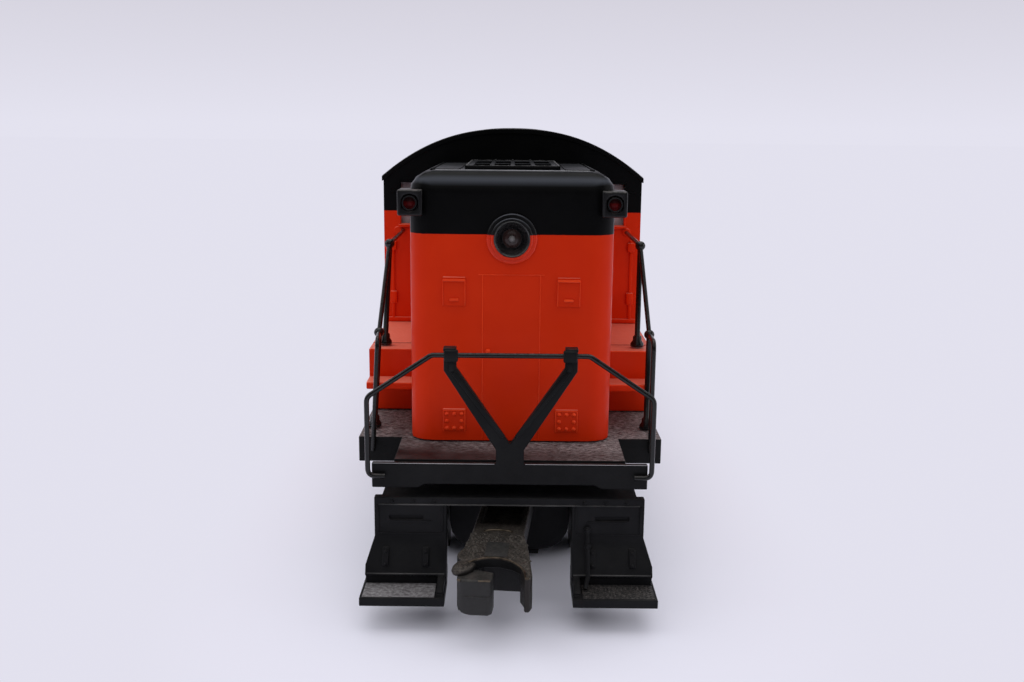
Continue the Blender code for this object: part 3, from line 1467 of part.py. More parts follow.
def build_gear_cover(name, truck):
    """The plate under the gear chamber, with the thrust pad that the worm shaft runs on."""
    low, high = chamber_span()
    half = COVER_WIDTH / 2
    cover = add_part(
        f"{name}_gear_cover",
        box((-half, low - COVER_LAP, COVER_TOP - COVER_PLATE), (half, high + COVER_LAP, COVER_TOP)),
        BLACK_METAL,
        truck,
    )
    join(
        cover,
        rod(
            (0, SHAFT_Y, COVER_TOP - COVER_PLATE / 2),
            (0, SHAFT_Y, COVER_TOP + THRUST_HEIGHT),
            THRUST_PAD_RADIUS,
        ),
    )


def wheel_profile():
    """A flanged wheel from its outer face to its back, listed outwards along the axle."""
    bore = AXLE_RADIUS + WHEEL_SEAT_GAP
    dish = WHEEL_FACE - WHEEL_DISH
    rim = TREAD_RADIUS - WHEEL_RIM
    return [
        (bore, dish),
        (rim - WHEEL_DISH, dish),
        (rim, WHEEL_FACE),
        (TREAD_RADIUS - WHEEL_RIM / 8, WHEEL_FACE),
        (TREAD_RADIUS, WHEEL_BACK + 2 * FLANGE_THICKNESS),
        (FLANGE_RADIUS, WHEEL_BACK + FLANGE_THICKNESS),
        (FLANGE_RADIUS, WHEEL_BACK),
        (bore, WHEEL_BACK),
    ]


def build_wheelsets(name, truck, facing):
    """The geared and the plain axle, each with its two wheels."""
    half = WHEEL_FACE + AXLE_OVERHANG
    for kind, y in (("drive", DRIVE_AXLE_Y), ("idle", IDLE_AXLE_Y)):
        axis = add_empty(f"{name}_{kind}_axle_axis", (0, y, AXLE_HEIGHT), truck)
        axle = add_part(
            f"{name}_{kind}_axle", rod((-half, 0, 0), (half, 0, 0), AXLE_RADIUS), SHAFT_STEEL, axis
        )
        if kind == "drive":
            join(axle, worm_wheel())
        for _, side in both_sides():
            wheel = turned(wheel_profile(), "X", (0, 0, 0), WHEEL_SIDES, bored=True)
            wheel.transform(Matrix.Rotation(0.0 if side > 0 else math.pi, 4, "Z"))
            side_name = "left" if side * facing > 0 else "right"
            add_part(f"{name}_{kind}_wheel_{side_name}", wheel, WHEEL_STEEL, axis, smooth=True)


def sideframe_outline():
    """A cast side frame seen from the side: two pedestals, a bowed waist and a spring plank."""
    axle = WHEELBASE / 2
    end = axle + SIDEFRAME_END
    pedestal = PEDESTAL_WIDTH / 2
    plank = SPRING_PLANK_LENGTH / 2
    return mirrored(
        [
            (plank, SIDEFRAME_BOTTOM),
            (plank + SPRING_PLANK, SIDEFRAME_BOTTOM + SPRING_PLANK),
            (axle - pedestal - SPRING_PLANK, SIDEFRAME_BOW),
            (axle - pedestal, SIDEFRAME_BOW),
            (axle - pedestal, PEDESTAL_BOTTOM),
            (axle + pedestal, PEDESTAL_BOTTOM),
            (axle + pedestal, SIDEFRAME_BOW),
            (end, SIDEFRAME_BOW + SPRING_PLANK),
            (end, SIDEFRAME_WAIST),
            (axle, SIDEFRAME_TOP),
            (plank, SIDEFRAME_WAIST + SPRING_PLANK),
        ]
    )


def sideframe_windows():
    """The openings beside the springs."""
    plank = SPRING_PLANK_LENGTH / 2
    axle = WHEELBASE / 2
    inner = plank + SPRING_PLANK / 2
    outer = axle - PEDESTAL_WIDTH / 2 - SPRING_PLANK / 2
    low = SIDEFRAME_BOW + SPRING_PLANK / 2
    high = SIDEFRAME_WAIST - SPRING_PLANK / 4
    window = [(inner, low), (outer, low + SPRING_PLANK), (outer, high), (inner, high)]
    return [window, [(-y, z) for y, z in window]]


def build_sideframes(name, truck, facing):
    """The outside frames with their journal boxes and coil springs."""
    inner = SIDEFRAME_INNER
    face = inner + SIDEFRAME_PLATE
    for _, side in both_sides():
        side_name = "left" if side * facing > 0 else "right"
        low, high = span(side * inner, side * face)
        frame = add_part(
            f"{name}_sideframe_{side_name}", prism(sideframe_outline(), "X", low, high), BLACK_METAL, truck
        )
        for window in sideframe_windows():
            cut(frame, prism(window, "X", low - THROUGH, high + THROUGH))
        sunk, proud = side * (face - OVERLAP), side * (face + JOURNAL_DEPTH)
        lid = side * (face + JOURNAL_DEPTH + JOURNAL_LID)
        for y in (DRIVE_AXLE_Y, IDLE_AXLE_Y):
            low, high = span(sunk, proud)
            base = AXLE_HEIGHT - JOURNAL_HEIGHT / 2
            join(
                frame,
                box((low, y - JOURNAL_WIDTH / 2, base), (high, y + JOURNAL_WIDTH / 2, base + JOURNAL_HEIGHT)),
                rod((proud - side * OVERLAP, y, AXLE_HEIGHT), (lid, y, AXLE_HEIGHT), JOURNAL_LID_RADIUS),
            )
        spring_x = side * (face + SPRING_RADIUS / 2)
        low, high = span(sunk, side * (face + SPRING_RADIUS + SPRING_PLANK))
        plank = SPRING_PLANK_LENGTH / 2 + SPRING_PLANK_LIP
        join(
            frame,
            box(
                (low, -plank, SIDEFRAME_BOTTOM - SPRING_PLANK_LIP),
                (high, plank, SIDEFRAME_BOTTOM + SPRING_PLANK),
            ),
            *[
                rod(
                    (spring_x, y, SIDEFRAME_BOTTOM + SPRING_PLANK / 2),
                    (spring_x, y, SIDEFRAME_WAIST),
                    SPRING_RADIUS,
                    SLIM_SIDES,
                )
                for y in (-SPRING_SPACING / 2, SPRING_SPACING / 2)
            ],
        )


def pilot_outline():
    """The pilot sheet seen from the end: a cross bar with two legs, as wide as their flared feet."""
    gap = PILOT_GAP / 2
    flare = PILOT_FLARE_WIDTH / 2
    return mirrored(
        [
            (gap, PILOT_TOP - PILOT_BAR),
            (gap, PILOT_LIP),
            (flare, PILOT_LIP),
            (flare, PILOT_TOP),
        ]
    )


def pilot_flank(side):
    """Cutter that narrows the pilot above the flare on one side."""
    half = side * PILOT_WIDTH / 2
    flare = side * PILOT_FLARE_WIDTH / 2
    beyond = flare + side * THROUGH
    profile = [
        (half, PILOT_TOP + THROUGH),
        (half, PILOT_FLARE_TOP),
        (flare, PILOT_FLARE_BOTTOM),
        (beyond, PILOT_FLARE_BOTTOM - (PILOT_FLARE_TOP - PILOT_FLARE_BOTTOM)),
        (beyond, PILOT_TOP + THROUGH),
    ]
    toe = -PILOT_FACE_LEAD - PILOT_APRON - THROUGH
    return prism(profile, "Y", toe, -PILOT_FACE_LEAD + PILOT_PLATE + THROUGH)


def pilot_slope(share, proud=0.0):
    """A point on the leaning apron, from its top to its edge, and how far it stands out from it."""
    drop = PILOT_FLARE_TOP - PILOT_LIP - PILOT_APRON_EDGE
    along = Vector((-PILOT_APRON, -drop))
    out = Vector((-drop, PILOT_APRON)).normalized() * proud
    return Vector((-PILOT_FACE_LEAD, PILOT_FLARE_TOP)) + along * share + out


def pilot_apron(left, right):
    """The lower part of a leg, which leans out to a thin edge over the footboard."""
    inside = -PILOT_FACE_LEAD + PILOT_PLATE / 2
    edge = pilot_slope(1.0)
    profile = [
        (inside, PILOT_FLARE_TOP),
        tuple(pilot_slope(0.0)),
        tuple(edge),
        (edge.x, PILOT_LIP),
        (inside, PILOT_LIP),
    ]
    return prism(profile, "X", left, right)


def pilot_rib(middle):
    """An upright rib on the apron."""
    foot = 1.0 - PILOT_RIB / PILOT_APRON
    head = foot - PILOT_RIB_HEIGHT / (PILOT_FLARE_TOP - PILOT_LIP)
    corners = [(head, -OVERLAP), (head, PILOT_RIB), (foot, PILOT_RIB), (foot, -OVERLAP)]
    profile = [tuple(pilot_slope(share, proud)) for share, proud in corners]
    return prism(profile, "X", middle - PILOT_RIB_WIDTH / 2, middle + PILOT_RIB_WIDTH / 2)


def pilot_cheek(left, right):
    """The gusset between a leg and the inner end of its footboard."""
    face = -PILOT_FACE_LEAD
    toe = face - FOOTBOARD_LEAD + FOOTBOARD_PLATE
    sole = FOOTBOARD_TOP - FOOTBOARD_PLATE / 2
    profile = [
        (face + PILOT_PLATE / 2, sole),
        (face + PILOT_PLATE / 2, PILOT_LIP + OVERLAP),
        (face - PILOT_APRON + OVERLAP, PILOT_LIP + OVERLAP),
        (toe, FOOTBOARD_TOP + OVERLAP),
        (toe, sole),
    ]
    return prism(profile, "X", left, right)


def build_pilot(name, truck):
    """The pilot that swings with the truck, with a footboard under each leg."""
    face = -PILOT_FACE_LEAD
    back = face + PILOT_PLATE
    bar = PILOT_TOP - PILOT_BAR
    pilot = add_part(f"{name}_pilot", prism(pilot_outline(), "Y", face, back), BLACK_METAL, truck)
    gap = PILOT_GAP / 2
    tab = TONGUE_WIDTH / 2
    shelf = PILOT_SHELF_WIDTH / 2
    shelf_plate = PILOT_BAR / 2
    shelf_low = bar + shelf_plate / 2
    shelf_high = PILOT_TOP - shelf_plate / 4
    join(
        pilot,
        box((-tab, back - OVERLAP, bar), (tab, back + PILOT_TAB, PILOT_TOP - shelf_plate / 2)),
        box((-shelf, back - OVERLAP, shelf_low), (shelf, back + PILOT_SHELF, shelf_high)),
    )
    sole = FOOTBOARD_TOP - FOOTBOARD_PLATE
    for _, side in both_sides():
        left, right = span(side * gap, side * PILOT_FLARE_WIDTH / 2)
        board_left, board_right = span(side * gap, side * (gap + FOOTBOARD_WIDTH))
        riser_face = face - PILOT_APRON + PILOT_RISER_INSET
        cheek_left, cheek_right = span(side * (gap + OVERLAP / 2), side * (gap + PILOT_CHEEK))
        middle = side * (gap + PILOT_FLARE_WIDTH / 2) / 2
        ribs = [pilot_rib(middle - PILOT_RIB_SPACING / 2), pilot_rib(middle + PILOT_RIB_SPACING / 2)]
        join(
            pilot,
            pilot_apron(left, right),
            box((left, riser_face, sole + FOOTBOARD_PLATE / 2), (right, back + OVERLAP, PILOT_LIP + OVERLAP)),
            box((board_left, face - FOOTBOARD_LEAD, sole), (board_right, back, FOOTBOARD_TOP)),
            pilot_cheek(cheek_left, cheek_right),
            group(*ribs),
        )
        slot_top = bar - PILOT_SLOT_DROP
        cut(
            pilot,
            pilot_flank(side),
            box(
                (middle - PILOT_SLOT / 2, face - THROUGH, slot_top - PILOT_SLOT_HEIGHT),
                (middle + PILOT_SLOT / 2, face + PILOT_SLOT_DEPTH, slot_top),
            ),
        )


def coupler_outline():
    """The coupler casting from above, without its throat; the knuckle's lug is at -X."""
    shank = COUPLER_SHANK_WIDTH / 2
    eye = arc((0.0, 0.0), shank, 0, 180, 2 * ARC_STEPS)
    pin = (KNUCKLE_PIN_X, -KNUCKLE_PIN_LEAD)
    lug = arc(pin, KNUCKLE_LUG, 150, 300, 2 * ARC_STEPS)
    tip = GUARD_SIDE - GUARD_TIP_WIDTH
    return [
        *eye,
        (-shank, -COUPLER_NECK),
        (-COUPLER_FLANK_LUG_SIDE, -COUPLER_FLANK),
        *lug,
        (lug[-1][0], -COUPLER_THROAT),
        (tip, -COUPLER_THROAT),
        (tip, -COUPLER_REACH),
        (GUARD_SIDE - GUARD_TAPER / 4, -COUPLER_REACH),
        (GUARD_SIDE, -COUPLER_REACH + GUARD_TAPER),
        (COUPLER_FLANK_GUARD_SIDE, -COUPLER_FLANK),
        (shank, -COUPLER_NECK),
    ]


def rounded_sole(side):
    """Cutter profile that rounds the lower corner of the knuckle's side of the head, seen from the end."""
    rise = KNUCKLE_EYE_BASE - COUPLER_BOTTOM
    corner = arc((0.0, 0.0), 1.0, 180, 270, 2 * ARC_STEPS)
    curve = [(side + KNUCKLE_SOLE_ROUND * (1 + x), KNUCKLE_EYE_BASE + rise * z) for x, z in corner]
    return [
        (side - THROUGH, KNUCKLE_EYE_BASE),
        *curve,
        (side + KNUCKLE_SOLE_ROUND, COUPLER_BOTTOM - THROUGH),
        (side - THROUGH, COUPLER_BOTTOM - THROUGH),
    ]


def knuckle_outline():
    """The knuckle from above, about its pin: an eye, a neck along the side and a rounded nose."""
    nose_left = -KNUCKLE_NOSE_SIDE - KNUCKLE_PIN_X
    nose_right = nose_left + KNUCKLE_NOSE_WIDTH
    front = -COUPLER_REACH + KNUCKLE_PIN_LEAD
    back = front + KNUCKLE_NOSE_LENGTH
    neck = nose_left + KNUCKLE_NECK_WIDTH
    corner = (nose_left + KNUCKLE_NOSE_ROUND, front + KNUCKLE_NOSE_ROUND)
    return [
        *arc((0.0, 0.0), KNUCKLE_EYE_RADIUS, 0, 180, 2 * ARC_STEPS),
        *arc(corner, KNUCKLE_NOSE_ROUND, 180, 270, ARC_STEPS),
        (nose_right - KNUCKLE_NOSE_ROUND / 2, front),
        (nose_right, front + KNUCKLE_NOSE_ROUND / 2),
        (nose_right, back - KNUCKLE_NOSE_ROUND / 2),
        (neck, back),
    ]


def build_coupler(name, truck):
    """The coupler casting on its pivot stud, with a knuckle that swings open on a pin."""
    pivot = add_empty(f"{name}_coupler_axis", (0, -COUPLER_PIVOT, 0), truck, COUPLER_REST_SWING)
    shank_bottom = COUPLER_TOP - COUPLER_SHANK
    coupler = add_part(
        f"{name}_coupler", prism(coupler_outline(), "Z", COUPLER_BOTTOM, COUPLER_TOP), CAST_BRONZE, pivot
    )
    half = GUARD_SIDE + THROUGH
    eye_end = COUPLER_SHANK_WIDTH / 2 + THROUGH
    channel = COUPLER_CHANNEL_WIDTH / 2
    pin = Vector((KNUCKLE_PIN_X, -KNUCKLE_PIN_LEAD, 0))
    eye_low = KNUCKLE_EYE_BASE
    eye_high = KNUCKLE_EYE_BASE + KNUCKLE_EYE_HEIGHT
    slot_low = Vector((0, 0, eye_low - RUNNING_GAP))
    slot_high = Vector((0, 0, eye_high + RUNNING_GAP))
    slot_radius = KNUCKLE_EYE_RADIUS + RUNNING_GAP + KNUCKLE_SLOT_ROOM
    guard = COUPLER_FLANK_GUARD_SIDE - COUPLER_POCKET_WALL
    throat = (COUPLER_THROAT_X, -COUPLER_THROAT)
    nose = -COUPLER_REACH - THROUGH
    # The head's top falls from the shoulder to the guard's tip
    slope = COUPLER_HEAD_DROP / (COUPLER_REACH - COUPLER_SHOULDER)
    sky = COUPLER_TOP + THROUGH
    falling = [
        (-COUPLER_SHOULDER, COUPLER_TOP),
        (nose, COUPLER_TOP - slope * (-COUPLER_SHOULDER - nose)),
        (nose, sky),
        (-COUPLER_SHOULDER, sky),
    ]
    cut(
        coupler,
        box((-half, -COUPLER_NECK, COUPLER_BOTTOM - THROUGH), (half, eye_end, shank_bottom)),
        box(
            (-channel, -COUPLER_CHANNEL_END, COUPLER_TOP - COUPLER_CHANNEL_DEPTH),
            (channel, -COUPLER_SHANK_WIDTH / 2, COUPLER_TOP + THROUGH),
        ),
        rod(
            (0, 0, COUPLER_BOTTOM),
            (0, 0, COUPLER_TOP + THROUGH),
            COUPLER_STUD_RADIUS + RUNNING_GAP,
        ),
        rod((*throat, COUPLER_BOTTOM - THROUGH), (*throat, sky), COUPLER_THROAT_RADIUS, WHEEL_SIDES),
        box(
            (KNUCKLE_PIN_X + KNUCKLE_LUG, nose, COUPLER_BOTTOM - THROUGH),
            (guard, -COUPLER_POCKET, COUPLER_POCKET_TOP),
        ),
        box((guard - OVERLAP, nose, COUPLER_BOTTOM - THROUGH), (half, -COUPLER_POCKET, GUARD_BOTTOM)),
        prism(rounded_sole(KNUCKLE_PIN_X - KNUCKLE_LUG), "Y", nose, -COUPLER_NECK + THROUGH),
        prism(falling, "X", -half, half),
        rod(pin + slot_low, pin + slot_high, slot_radius, ROUND_SIDES),
    )
    join(
        coupler,
        rod(
            pin + Vector((0, 0, (COUPLER_BOTTOM + eye_low) / 2)),
            pin + Vector((0, 0, eye_high + KNUCKLE_PIN_RADIUS)),
            KNUCKLE_PIN_RADIUS,
        ),
    )
    # The knuckle's eye lies between the two lugs, and its nose is cut away round both
    axis = add_empty(f"{name}_knuckle_axis", pin, pivot)
    knuckle = add_part(
        f"{name}_knuckle", prism(knuckle_outline(), "Z", COUPLER_BOTTOM, KNUCKLE_TOP), CAST_BRONZE, axis
    )
    lug_room = KNUCKLE_LUG + RUNNING_GAP
    front = -COUPLER_REACH + KNUCKLE_PIN_LEAD - THROUGH
    cut(
        knuckle,
        prism(rounded_sole(-KNUCKLE_NOSE_SIDE - KNUCKLE_PIN_X - OVERLAP), "Y", front, KNUCKLE_LUG + THROUGH),
        rod((0, 0, COUPLER_BOTTOM - THROUGH), (0, 0, eye_low), lug_room, ROUND_SIDES),
        rod((0, 0, eye_high), (0, 0, sky), lug_room, ROUND_SIDES),
        rod(
            (0, 0, COUPLER_BOTTOM - THROUGH),
            (0, 0, COUPLER_TOP + THROUGH),
            KNUCKLE_PIN_RADIUS + RUNNING_GAP,
        ),
    )


def build_pickup(name, truck):
    """The sprung pickup arm in the block's underside, with its roller."""
    axis = add_empty(f"{name}_pickup_axis", (0, PICKUP_PIVOT_Y, PICKUP_PIVOT_Z), truck)
    run = PICKUP_ROLLER_Y - PICKUP_PIVOT_Y
    drop = PICKUP_ROLLER_Z - PICKUP_PIVOT_Z
    lean = math.degrees(math.atan2(drop, run))
    ear_outline = [
        *arc((0.0, 0.0), PICKUP_EAR_HALF, lean + 90, lean + 270, ARC_STEPS),
        *arc((run, drop), PICKUP_EAR_HALF, lean - 90, lean + 90, ARC_STEPS),
    ]
    inner = PICKUP_ROLLER_LENGTH / 2 + RUNNING_GAP
    outer = inner + PICKUP_EAR
    arm = add_part(f"{name}_pickup_arm", prism(ear_outline, "X", inner, outer), GEAR_BRASS, axis)
    bridge = PICKUP_EAR_HALF + PICKUP_ROLLER_RADIUS
    pocket_half, _, _ = pickup_pocket()
    pin_half = pocket_half + PICKUP_SIDE_ROOM - RUNNING_GAP
    plate = box(
        (-inner - PICKUP_EAR / 2, 0.0, -PICKUP_EAR / 2),
        (inner + PICKUP_EAR / 2, math.hypot(run, drop) - bridge, PICKUP_EAR / 2),
    )
    plate.transform(Matrix.Rotation(math.radians(lean), 4, "X"))
    join(
        arm,
        prism(ear_outline, "X", -outer, -inner),
        plate,
        rod((-pin_half, 0, 0), (pin_half, 0, 0), PICKUP_PIN_RADIUS),
        rod((-outer + PICKUP_EAR / 2, run, drop), (outer - PICKUP_EAR / 2, run, drop), PICKUP_PIN_RADIUS),
    )
    spin = add_empty(f"{name}_roller_axis", (0, run, drop), axis)
    half = PICKUP_ROLLER_LENGTH / 2
    bore = PICKUP_PIN_RADIUS + RUNNING_GAP
    roller = [
        (bore, half),
        (PICKUP_ROLLER_RADIUS, half),
        (PICKUP_ROLLER_RADIUS, -half),
        (bore, -half),
    ]
    turned_roller = turned(roller, "X", (0, 0, 0), PIN_SIDES, bored=True)
    add_part(f"{name}_pickup_roller", turned_roller, SHAFT_STEEL, spin, smooth=True)


def build_truck(name, end):
    """A whole power truck on its swivel axis."""
    turn = 0.0 if end < 0 else math.pi
    truck = add_empty(f"{name}_truck_axis", (0, end * TRUCK_STATION, 0), None, turn)
    facing = -end
    build_gear_block(name, truck)
    build_gear_cover(name, truck)
    build_motor(name, truck)
    build_wheelsets(name, truck, facing)
    build_sideframes(name, truck, facing)
    build_pilot(name, truck)
    build_coupler(name, truck)
    build_pickup(name, truck)


remove_all_objects()
parts = new_collection("model_diesel_locomotive")
cutters = new_collection("cutters")
build_frame()
build_end_beams()
build_end_rails()
build_side_rails()
build_short_hood()
build_cab()
build_long_hood()
build_headlights()
build_marker_lights()
build_fuel_tank()
build_control_board()
for end_name, end_sign in both_ends():
    build_truck(end_name, end_sign)
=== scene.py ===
"""The looks of an O-gauge diesel road switcher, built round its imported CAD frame.

+Z is up, X runs across the locomotive, and its short hood faces -Y. Lengths are in millimetres
and turned to metres by MM or at(), except on the stage, which is laid out in metres.
"""

import json
import math
import random

import bmesh
import bpy
from mathutils import Matrix, Vector

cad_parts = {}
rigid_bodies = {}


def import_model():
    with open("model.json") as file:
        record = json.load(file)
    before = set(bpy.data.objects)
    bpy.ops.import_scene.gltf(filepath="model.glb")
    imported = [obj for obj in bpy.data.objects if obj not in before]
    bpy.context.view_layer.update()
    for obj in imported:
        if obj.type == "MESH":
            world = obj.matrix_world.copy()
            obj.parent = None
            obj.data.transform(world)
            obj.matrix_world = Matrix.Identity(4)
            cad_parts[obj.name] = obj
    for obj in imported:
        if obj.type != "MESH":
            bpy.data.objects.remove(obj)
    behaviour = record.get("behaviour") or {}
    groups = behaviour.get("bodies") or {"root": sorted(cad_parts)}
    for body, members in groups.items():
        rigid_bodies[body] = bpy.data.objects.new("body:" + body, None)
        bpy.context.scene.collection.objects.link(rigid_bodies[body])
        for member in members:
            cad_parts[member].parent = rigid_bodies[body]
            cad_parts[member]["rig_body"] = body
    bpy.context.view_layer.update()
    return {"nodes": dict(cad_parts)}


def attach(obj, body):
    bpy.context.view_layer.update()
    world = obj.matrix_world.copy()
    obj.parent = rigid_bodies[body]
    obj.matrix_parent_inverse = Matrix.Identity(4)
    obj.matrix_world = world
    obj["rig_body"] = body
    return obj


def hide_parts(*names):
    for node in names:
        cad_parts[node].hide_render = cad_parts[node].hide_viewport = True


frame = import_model()

MM = 0.001
FRONT = UPWARD = Matrix.Identity(4)
REAR = Matrix.Rotation(math.pi, 4, "Z")
FORWARD = Matrix.Rotation(math.pi / 2, 4, "X")
ENDS = (("front", FRONT), ("rear", REAR))
SIDES = (("left", 1), ("right", -1))

# Stations of the CAD model
SEAT = 31.3
HOOD_FACE = -141.5
HOOD_HALF = 20.0
HOOD_TOP = 85.9
CAB_FRONT = -92.5
CAB_REAR = -45.5
CAB_HALF = 31.2
CAB_CROWN = 94.0
HEADLIGHT_Z = 72.8
HATCH_X = 11.45
MARKER = (20.05, -143.0, 79.75)
BOX_FACE = -125.6
BOX_TOP = 46.9
STEP_TOP = 40.8
STEP_FACE = -130.7
BEAM_FACE = -155.0
BEAM_TOP = 30.7
PILOT_FACE = -155.0
APRON_TOP = 15.8
APRON_EDGE = (-158.1, 9.4)
FOOTBOARD_TOP = 7.0
COUPLER_PIVOT = -134.5
COUPLER_REST = math.radians(-5.3)
HEAD_START = (24.0, 17.6)
HEAD_SLOPE = 2.4 / 14.2
THROAT = (0.2, 38.0, 6.25)
KNUCKLE_PIN = (-4.5, 31.0)
DOOR_COUNT = 7
DOOR_START = -37.5
DOOR_PITCH = 18.6
TANK_WALL = 24.0
JOURNALS = (-119.5, -62.5)
AXLE_Z = 11.57
RAIL_X = 29.1
RAIL_END = 139.3
RAIL_FOOT = 28.3
RAIL_TOP = 51.8
POST_Y = 131.5
POST_HEIGHT = 20.5
POST_COUNT = 6
POST_PITCH = 32.4
STEP_RAIL_X = 27.8
STEP_RAIL_TOP = 69.4
STEP_POST = (-121.5, 47.2, 22.2)
WIRE = 1.0

# What the photograph adds to the solids
HOOD_SWELL = 0.5
HOOD_PAINT_LINE = 73.6
CAB_PAINT_LINE = 74.2
BENT_RAIL_LEAN = 1.3

# Angles in degrees up to which wires and CAD nodes are shaded smooth
SMOOTH = 60
SHARP = 38

PEBBLE_SEED = 7
PEBBLE_COUNT = 260


def at(*place):
    """A move to a point given in millimetres."""
    return Matrix.Translation(Vector(place) * MM)


def link(obj):
    bpy.context.scene.collection.objects.link(obj)


# Shader graphs


def add_node(tree, kind, inputs=None, **settings):
    """A shader node with its settings, whose inputs take values or other nodes' outputs."""
    made = tree.nodes.new(f"ShaderNode{kind}")
    for name, value in settings.items():
        setattr(made, name, value)
    for key, value in (inputs or {}).items():
        socket = made.inputs[key]
        if isinstance(value, bpy.types.NodeSocket):
            tree.links.new(value, socket)
        else:
            socket.default_value = value
    return made


def new_material(name, **values):
    """A Principled material with constant sockets, and its tree."""
    made = bpy.data.materials.new(name)
    made.use_nodes = True
    shader = made.node_tree.nodes["Principled BSDF"]
    for socket, value in values.items():
        shader.inputs[socket.replace("_", " ")].default_value = value
    return made, made.node_tree, shader


def place(tree, stretch=None):
    """The piece's own coordinates in metres, stretched for streaks."""
    where = add_node(tree, "TexCoord").outputs["Object"]
    if stretch is None:
        return where
    mapping = add_node(tree, "Mapping", {"Vector": where, "Scale": stretch})
    return mapping.outputs["Vector"]


def axes(tree, vector):
    """The three parts of a vector."""
    return add_node(tree, "SeparateXYZ", {0: vector}).outputs


def noise(tree, where, grain, detail=4.0, roughness=0.55):
    """Noise whose grain is a length in millimetres."""
    scale = 1 / (grain * MM)
    inputs = {"Vector": where, "Scale": scale, "Detail": detail, "Roughness": roughness}
    return add_node(tree, "TexNoise", inputs).outputs["Fac"]


def between(tree, value, low, high, start=0.0, end=1.0):
    """A value stretched from one range to another, and clamped."""
    inputs = {"Value": value, "From Min": low, "From Max": high, "To Min": start, "To Max": end}
    return add_node(tree, "MapRange", inputs).outputs["Result"]


def maths(tree, operation, first, second=0.0):
    """A sum of two values by a named operation."""
    return add_node(tree, "Math", {0: first, 1: second}, operation=operation).outputs[0]


def times(tree, first, *others):
    """A product of values."""
    for other in others:
        first = maths(tree, "MULTIPLY", first, other)
    return first


def blend(tree, factor, first, second):
    """A mix of two colours."""
    made = add_node(tree, "Mix", {0: factor}, data_type="RGBA")
    for index, colour in ((6, first), (7, second)):
        if isinstance(colour, bpy.types.NodeSocket):
            tree.links.new(colour, made.inputs[index])
        else:
            made.inputs[index].default_value = (*colour, 1.0)
    return made.outputs[2]


def facing_up(tree, low=0.35, high=0.9):
    """How far the surface faces up, between two heights of its normal."""
    normal = add_node(tree, "NewGeometry").outputs["Normal"]
    return between(tree, axes(tree, normal)["Z"], low, high)


def finish(tree, shader, colour, roughness, height, depth):
    """Gives a surface its colour, its roughness and a bump of a depth in millimetres."""
    bump = add_node(tree, "Bump", {"Height": height, "Distance": depth * MM})
    normal = bump.outputs["Normal"]
    for socket, value in (("Base Color", colour), ("Roughness", roughness), ("Normal", normal)):
        tree.links.new(value, shader.inputs[socket])


def worn_surface(name, dark, light, dust, share, rough, gloss, grain=1.2, depth=0.02):
    """A worn coat: two tones in blotches, dust on what faces up, and a fine uneven surface; some
    looks use the lighter tone and the dust as painted highlight.
    """
    made, tree, shader = new_material(name, Specular_IOR_Level=gloss)
    where = place(tree)
    tones = blend(tree, between(tree, noise(tree, where, 9.0), 0.35, 0.7), dark, light)
    speck = between(tree, noise(tree, where, grain, 8.0, 0.7), 0.42, 0.72)
    colour = blend(tree, times(tree, facing_up(tree), speck, share), tones, dust)
    spread = between(tree, noise(tree, where, 2.5), 0.3, 0.7, rough - 0.06, rough + 0.06)
    finish(tree, shader, colour, spread, noise(tree, where, 0.35, 3.0), depth)
    return made


def paint_material(name, paint_line, shoulder_highlight_share, top_sheen_share, shade=1.0, gloss=0.07, rough=0.37):
    """Red-orange below the paint line and black above it, dusty and hazed where it faces up, with
    painted sheen in the haze and painted highlight on the black's shoulders and top.
    """
    made, tree, shader = new_material(name, Specular_IOR_Level=gloss)
    where = place(tree)
    across, _, height = axes(tree, where)
    wander = between(tree, noise(tree, where, 1.5), 0.0, 1.0, -0.05 * MM, 0.05 * MM)
    line = maths(tree, "ADD", height, wander)
    edge = 0.04 * MM
    upper = between(tree, line, paint_line * MM - edge, paint_line * MM + edge)
    blotch = between(tree, noise(tree, where, 16.0, 3.0), 0.3, 0.7)
    # The hood's orange is made darker than the cab's as painted shade
    orange = blend(tree, blotch, (0.62 * shade, 0.022, 0.002), (0.68 * shade, 0.028, 0.003))
    black = blend(tree, blotch, (0.0020, 0.0020, 0.0021), (0.0034, 0.0034, 0.0036))
    speck = between(tree, noise(tree, where, 0.9, 9.0, 0.75), 0.5, 0.8)
    cover = times(tree, facing_up(tree), speck, 0.25)
    # Pale haze on what faces up: dust, faded paint and painted sheen, with more painted light on
    # the left side
    flank = 15.0 * MM
    fade_and_side_sheen = between(tree, across, -flank, flank, 0.56, 0.32)
    haze = maths(tree, "ADD", cover, times(tree, facing_up(tree), fade_and_side_sheen))
    side = between(tree, across, -flank, flank)
    pale = blend(tree, side, (0.92, 0.31, 0.215), (0.71, 0.33, 0.24))
    orange = blend(tree, haze, orange, pale)
    # Painted highlight on the black's rounded shoulders, and painted sheen on its flat top
    shoulder = times(tree, facing_up(tree, 0.34, 0.60), facing_up(tree, 0.86, 0.68), shoulder_highlight_share)
    black = blend(tree, shoulder, black, (0.047, 0.051, 0.061))
    topmost = times(tree, facing_up(tree, 0.978, 0.998), top_sheen_share)
    black = blend(tree, topmost, black, (0.036, 0.037, 0.041))
    black = blend(tree, times(tree, cover, 0.2), black, (0.08, 0.08, 0.09))
    colour = blend(tree, upper, orange, black)
    streak = place(tree, (1.0, 1.0, 0.06))
    scuff = between(tree, noise(tree, streak, 0.7, 6.0, 0.7), 0.70, 0.80, 0.0, 0.08)
    scuff = times(tree, scuff, maths(tree, "SUBTRACT", 1.0, upper))
    colour = blend(tree, scuff, colour, (0.55, 0.22, 0.16))
    spread = between(tree, noise(tree, where, 3.0), 0.3, 0.7, rough - 0.05, rough + 0.05)
    finish(tree, shader, colour, spread, noise(tree, where, 0.5, 2.0), 0.010)
    return made


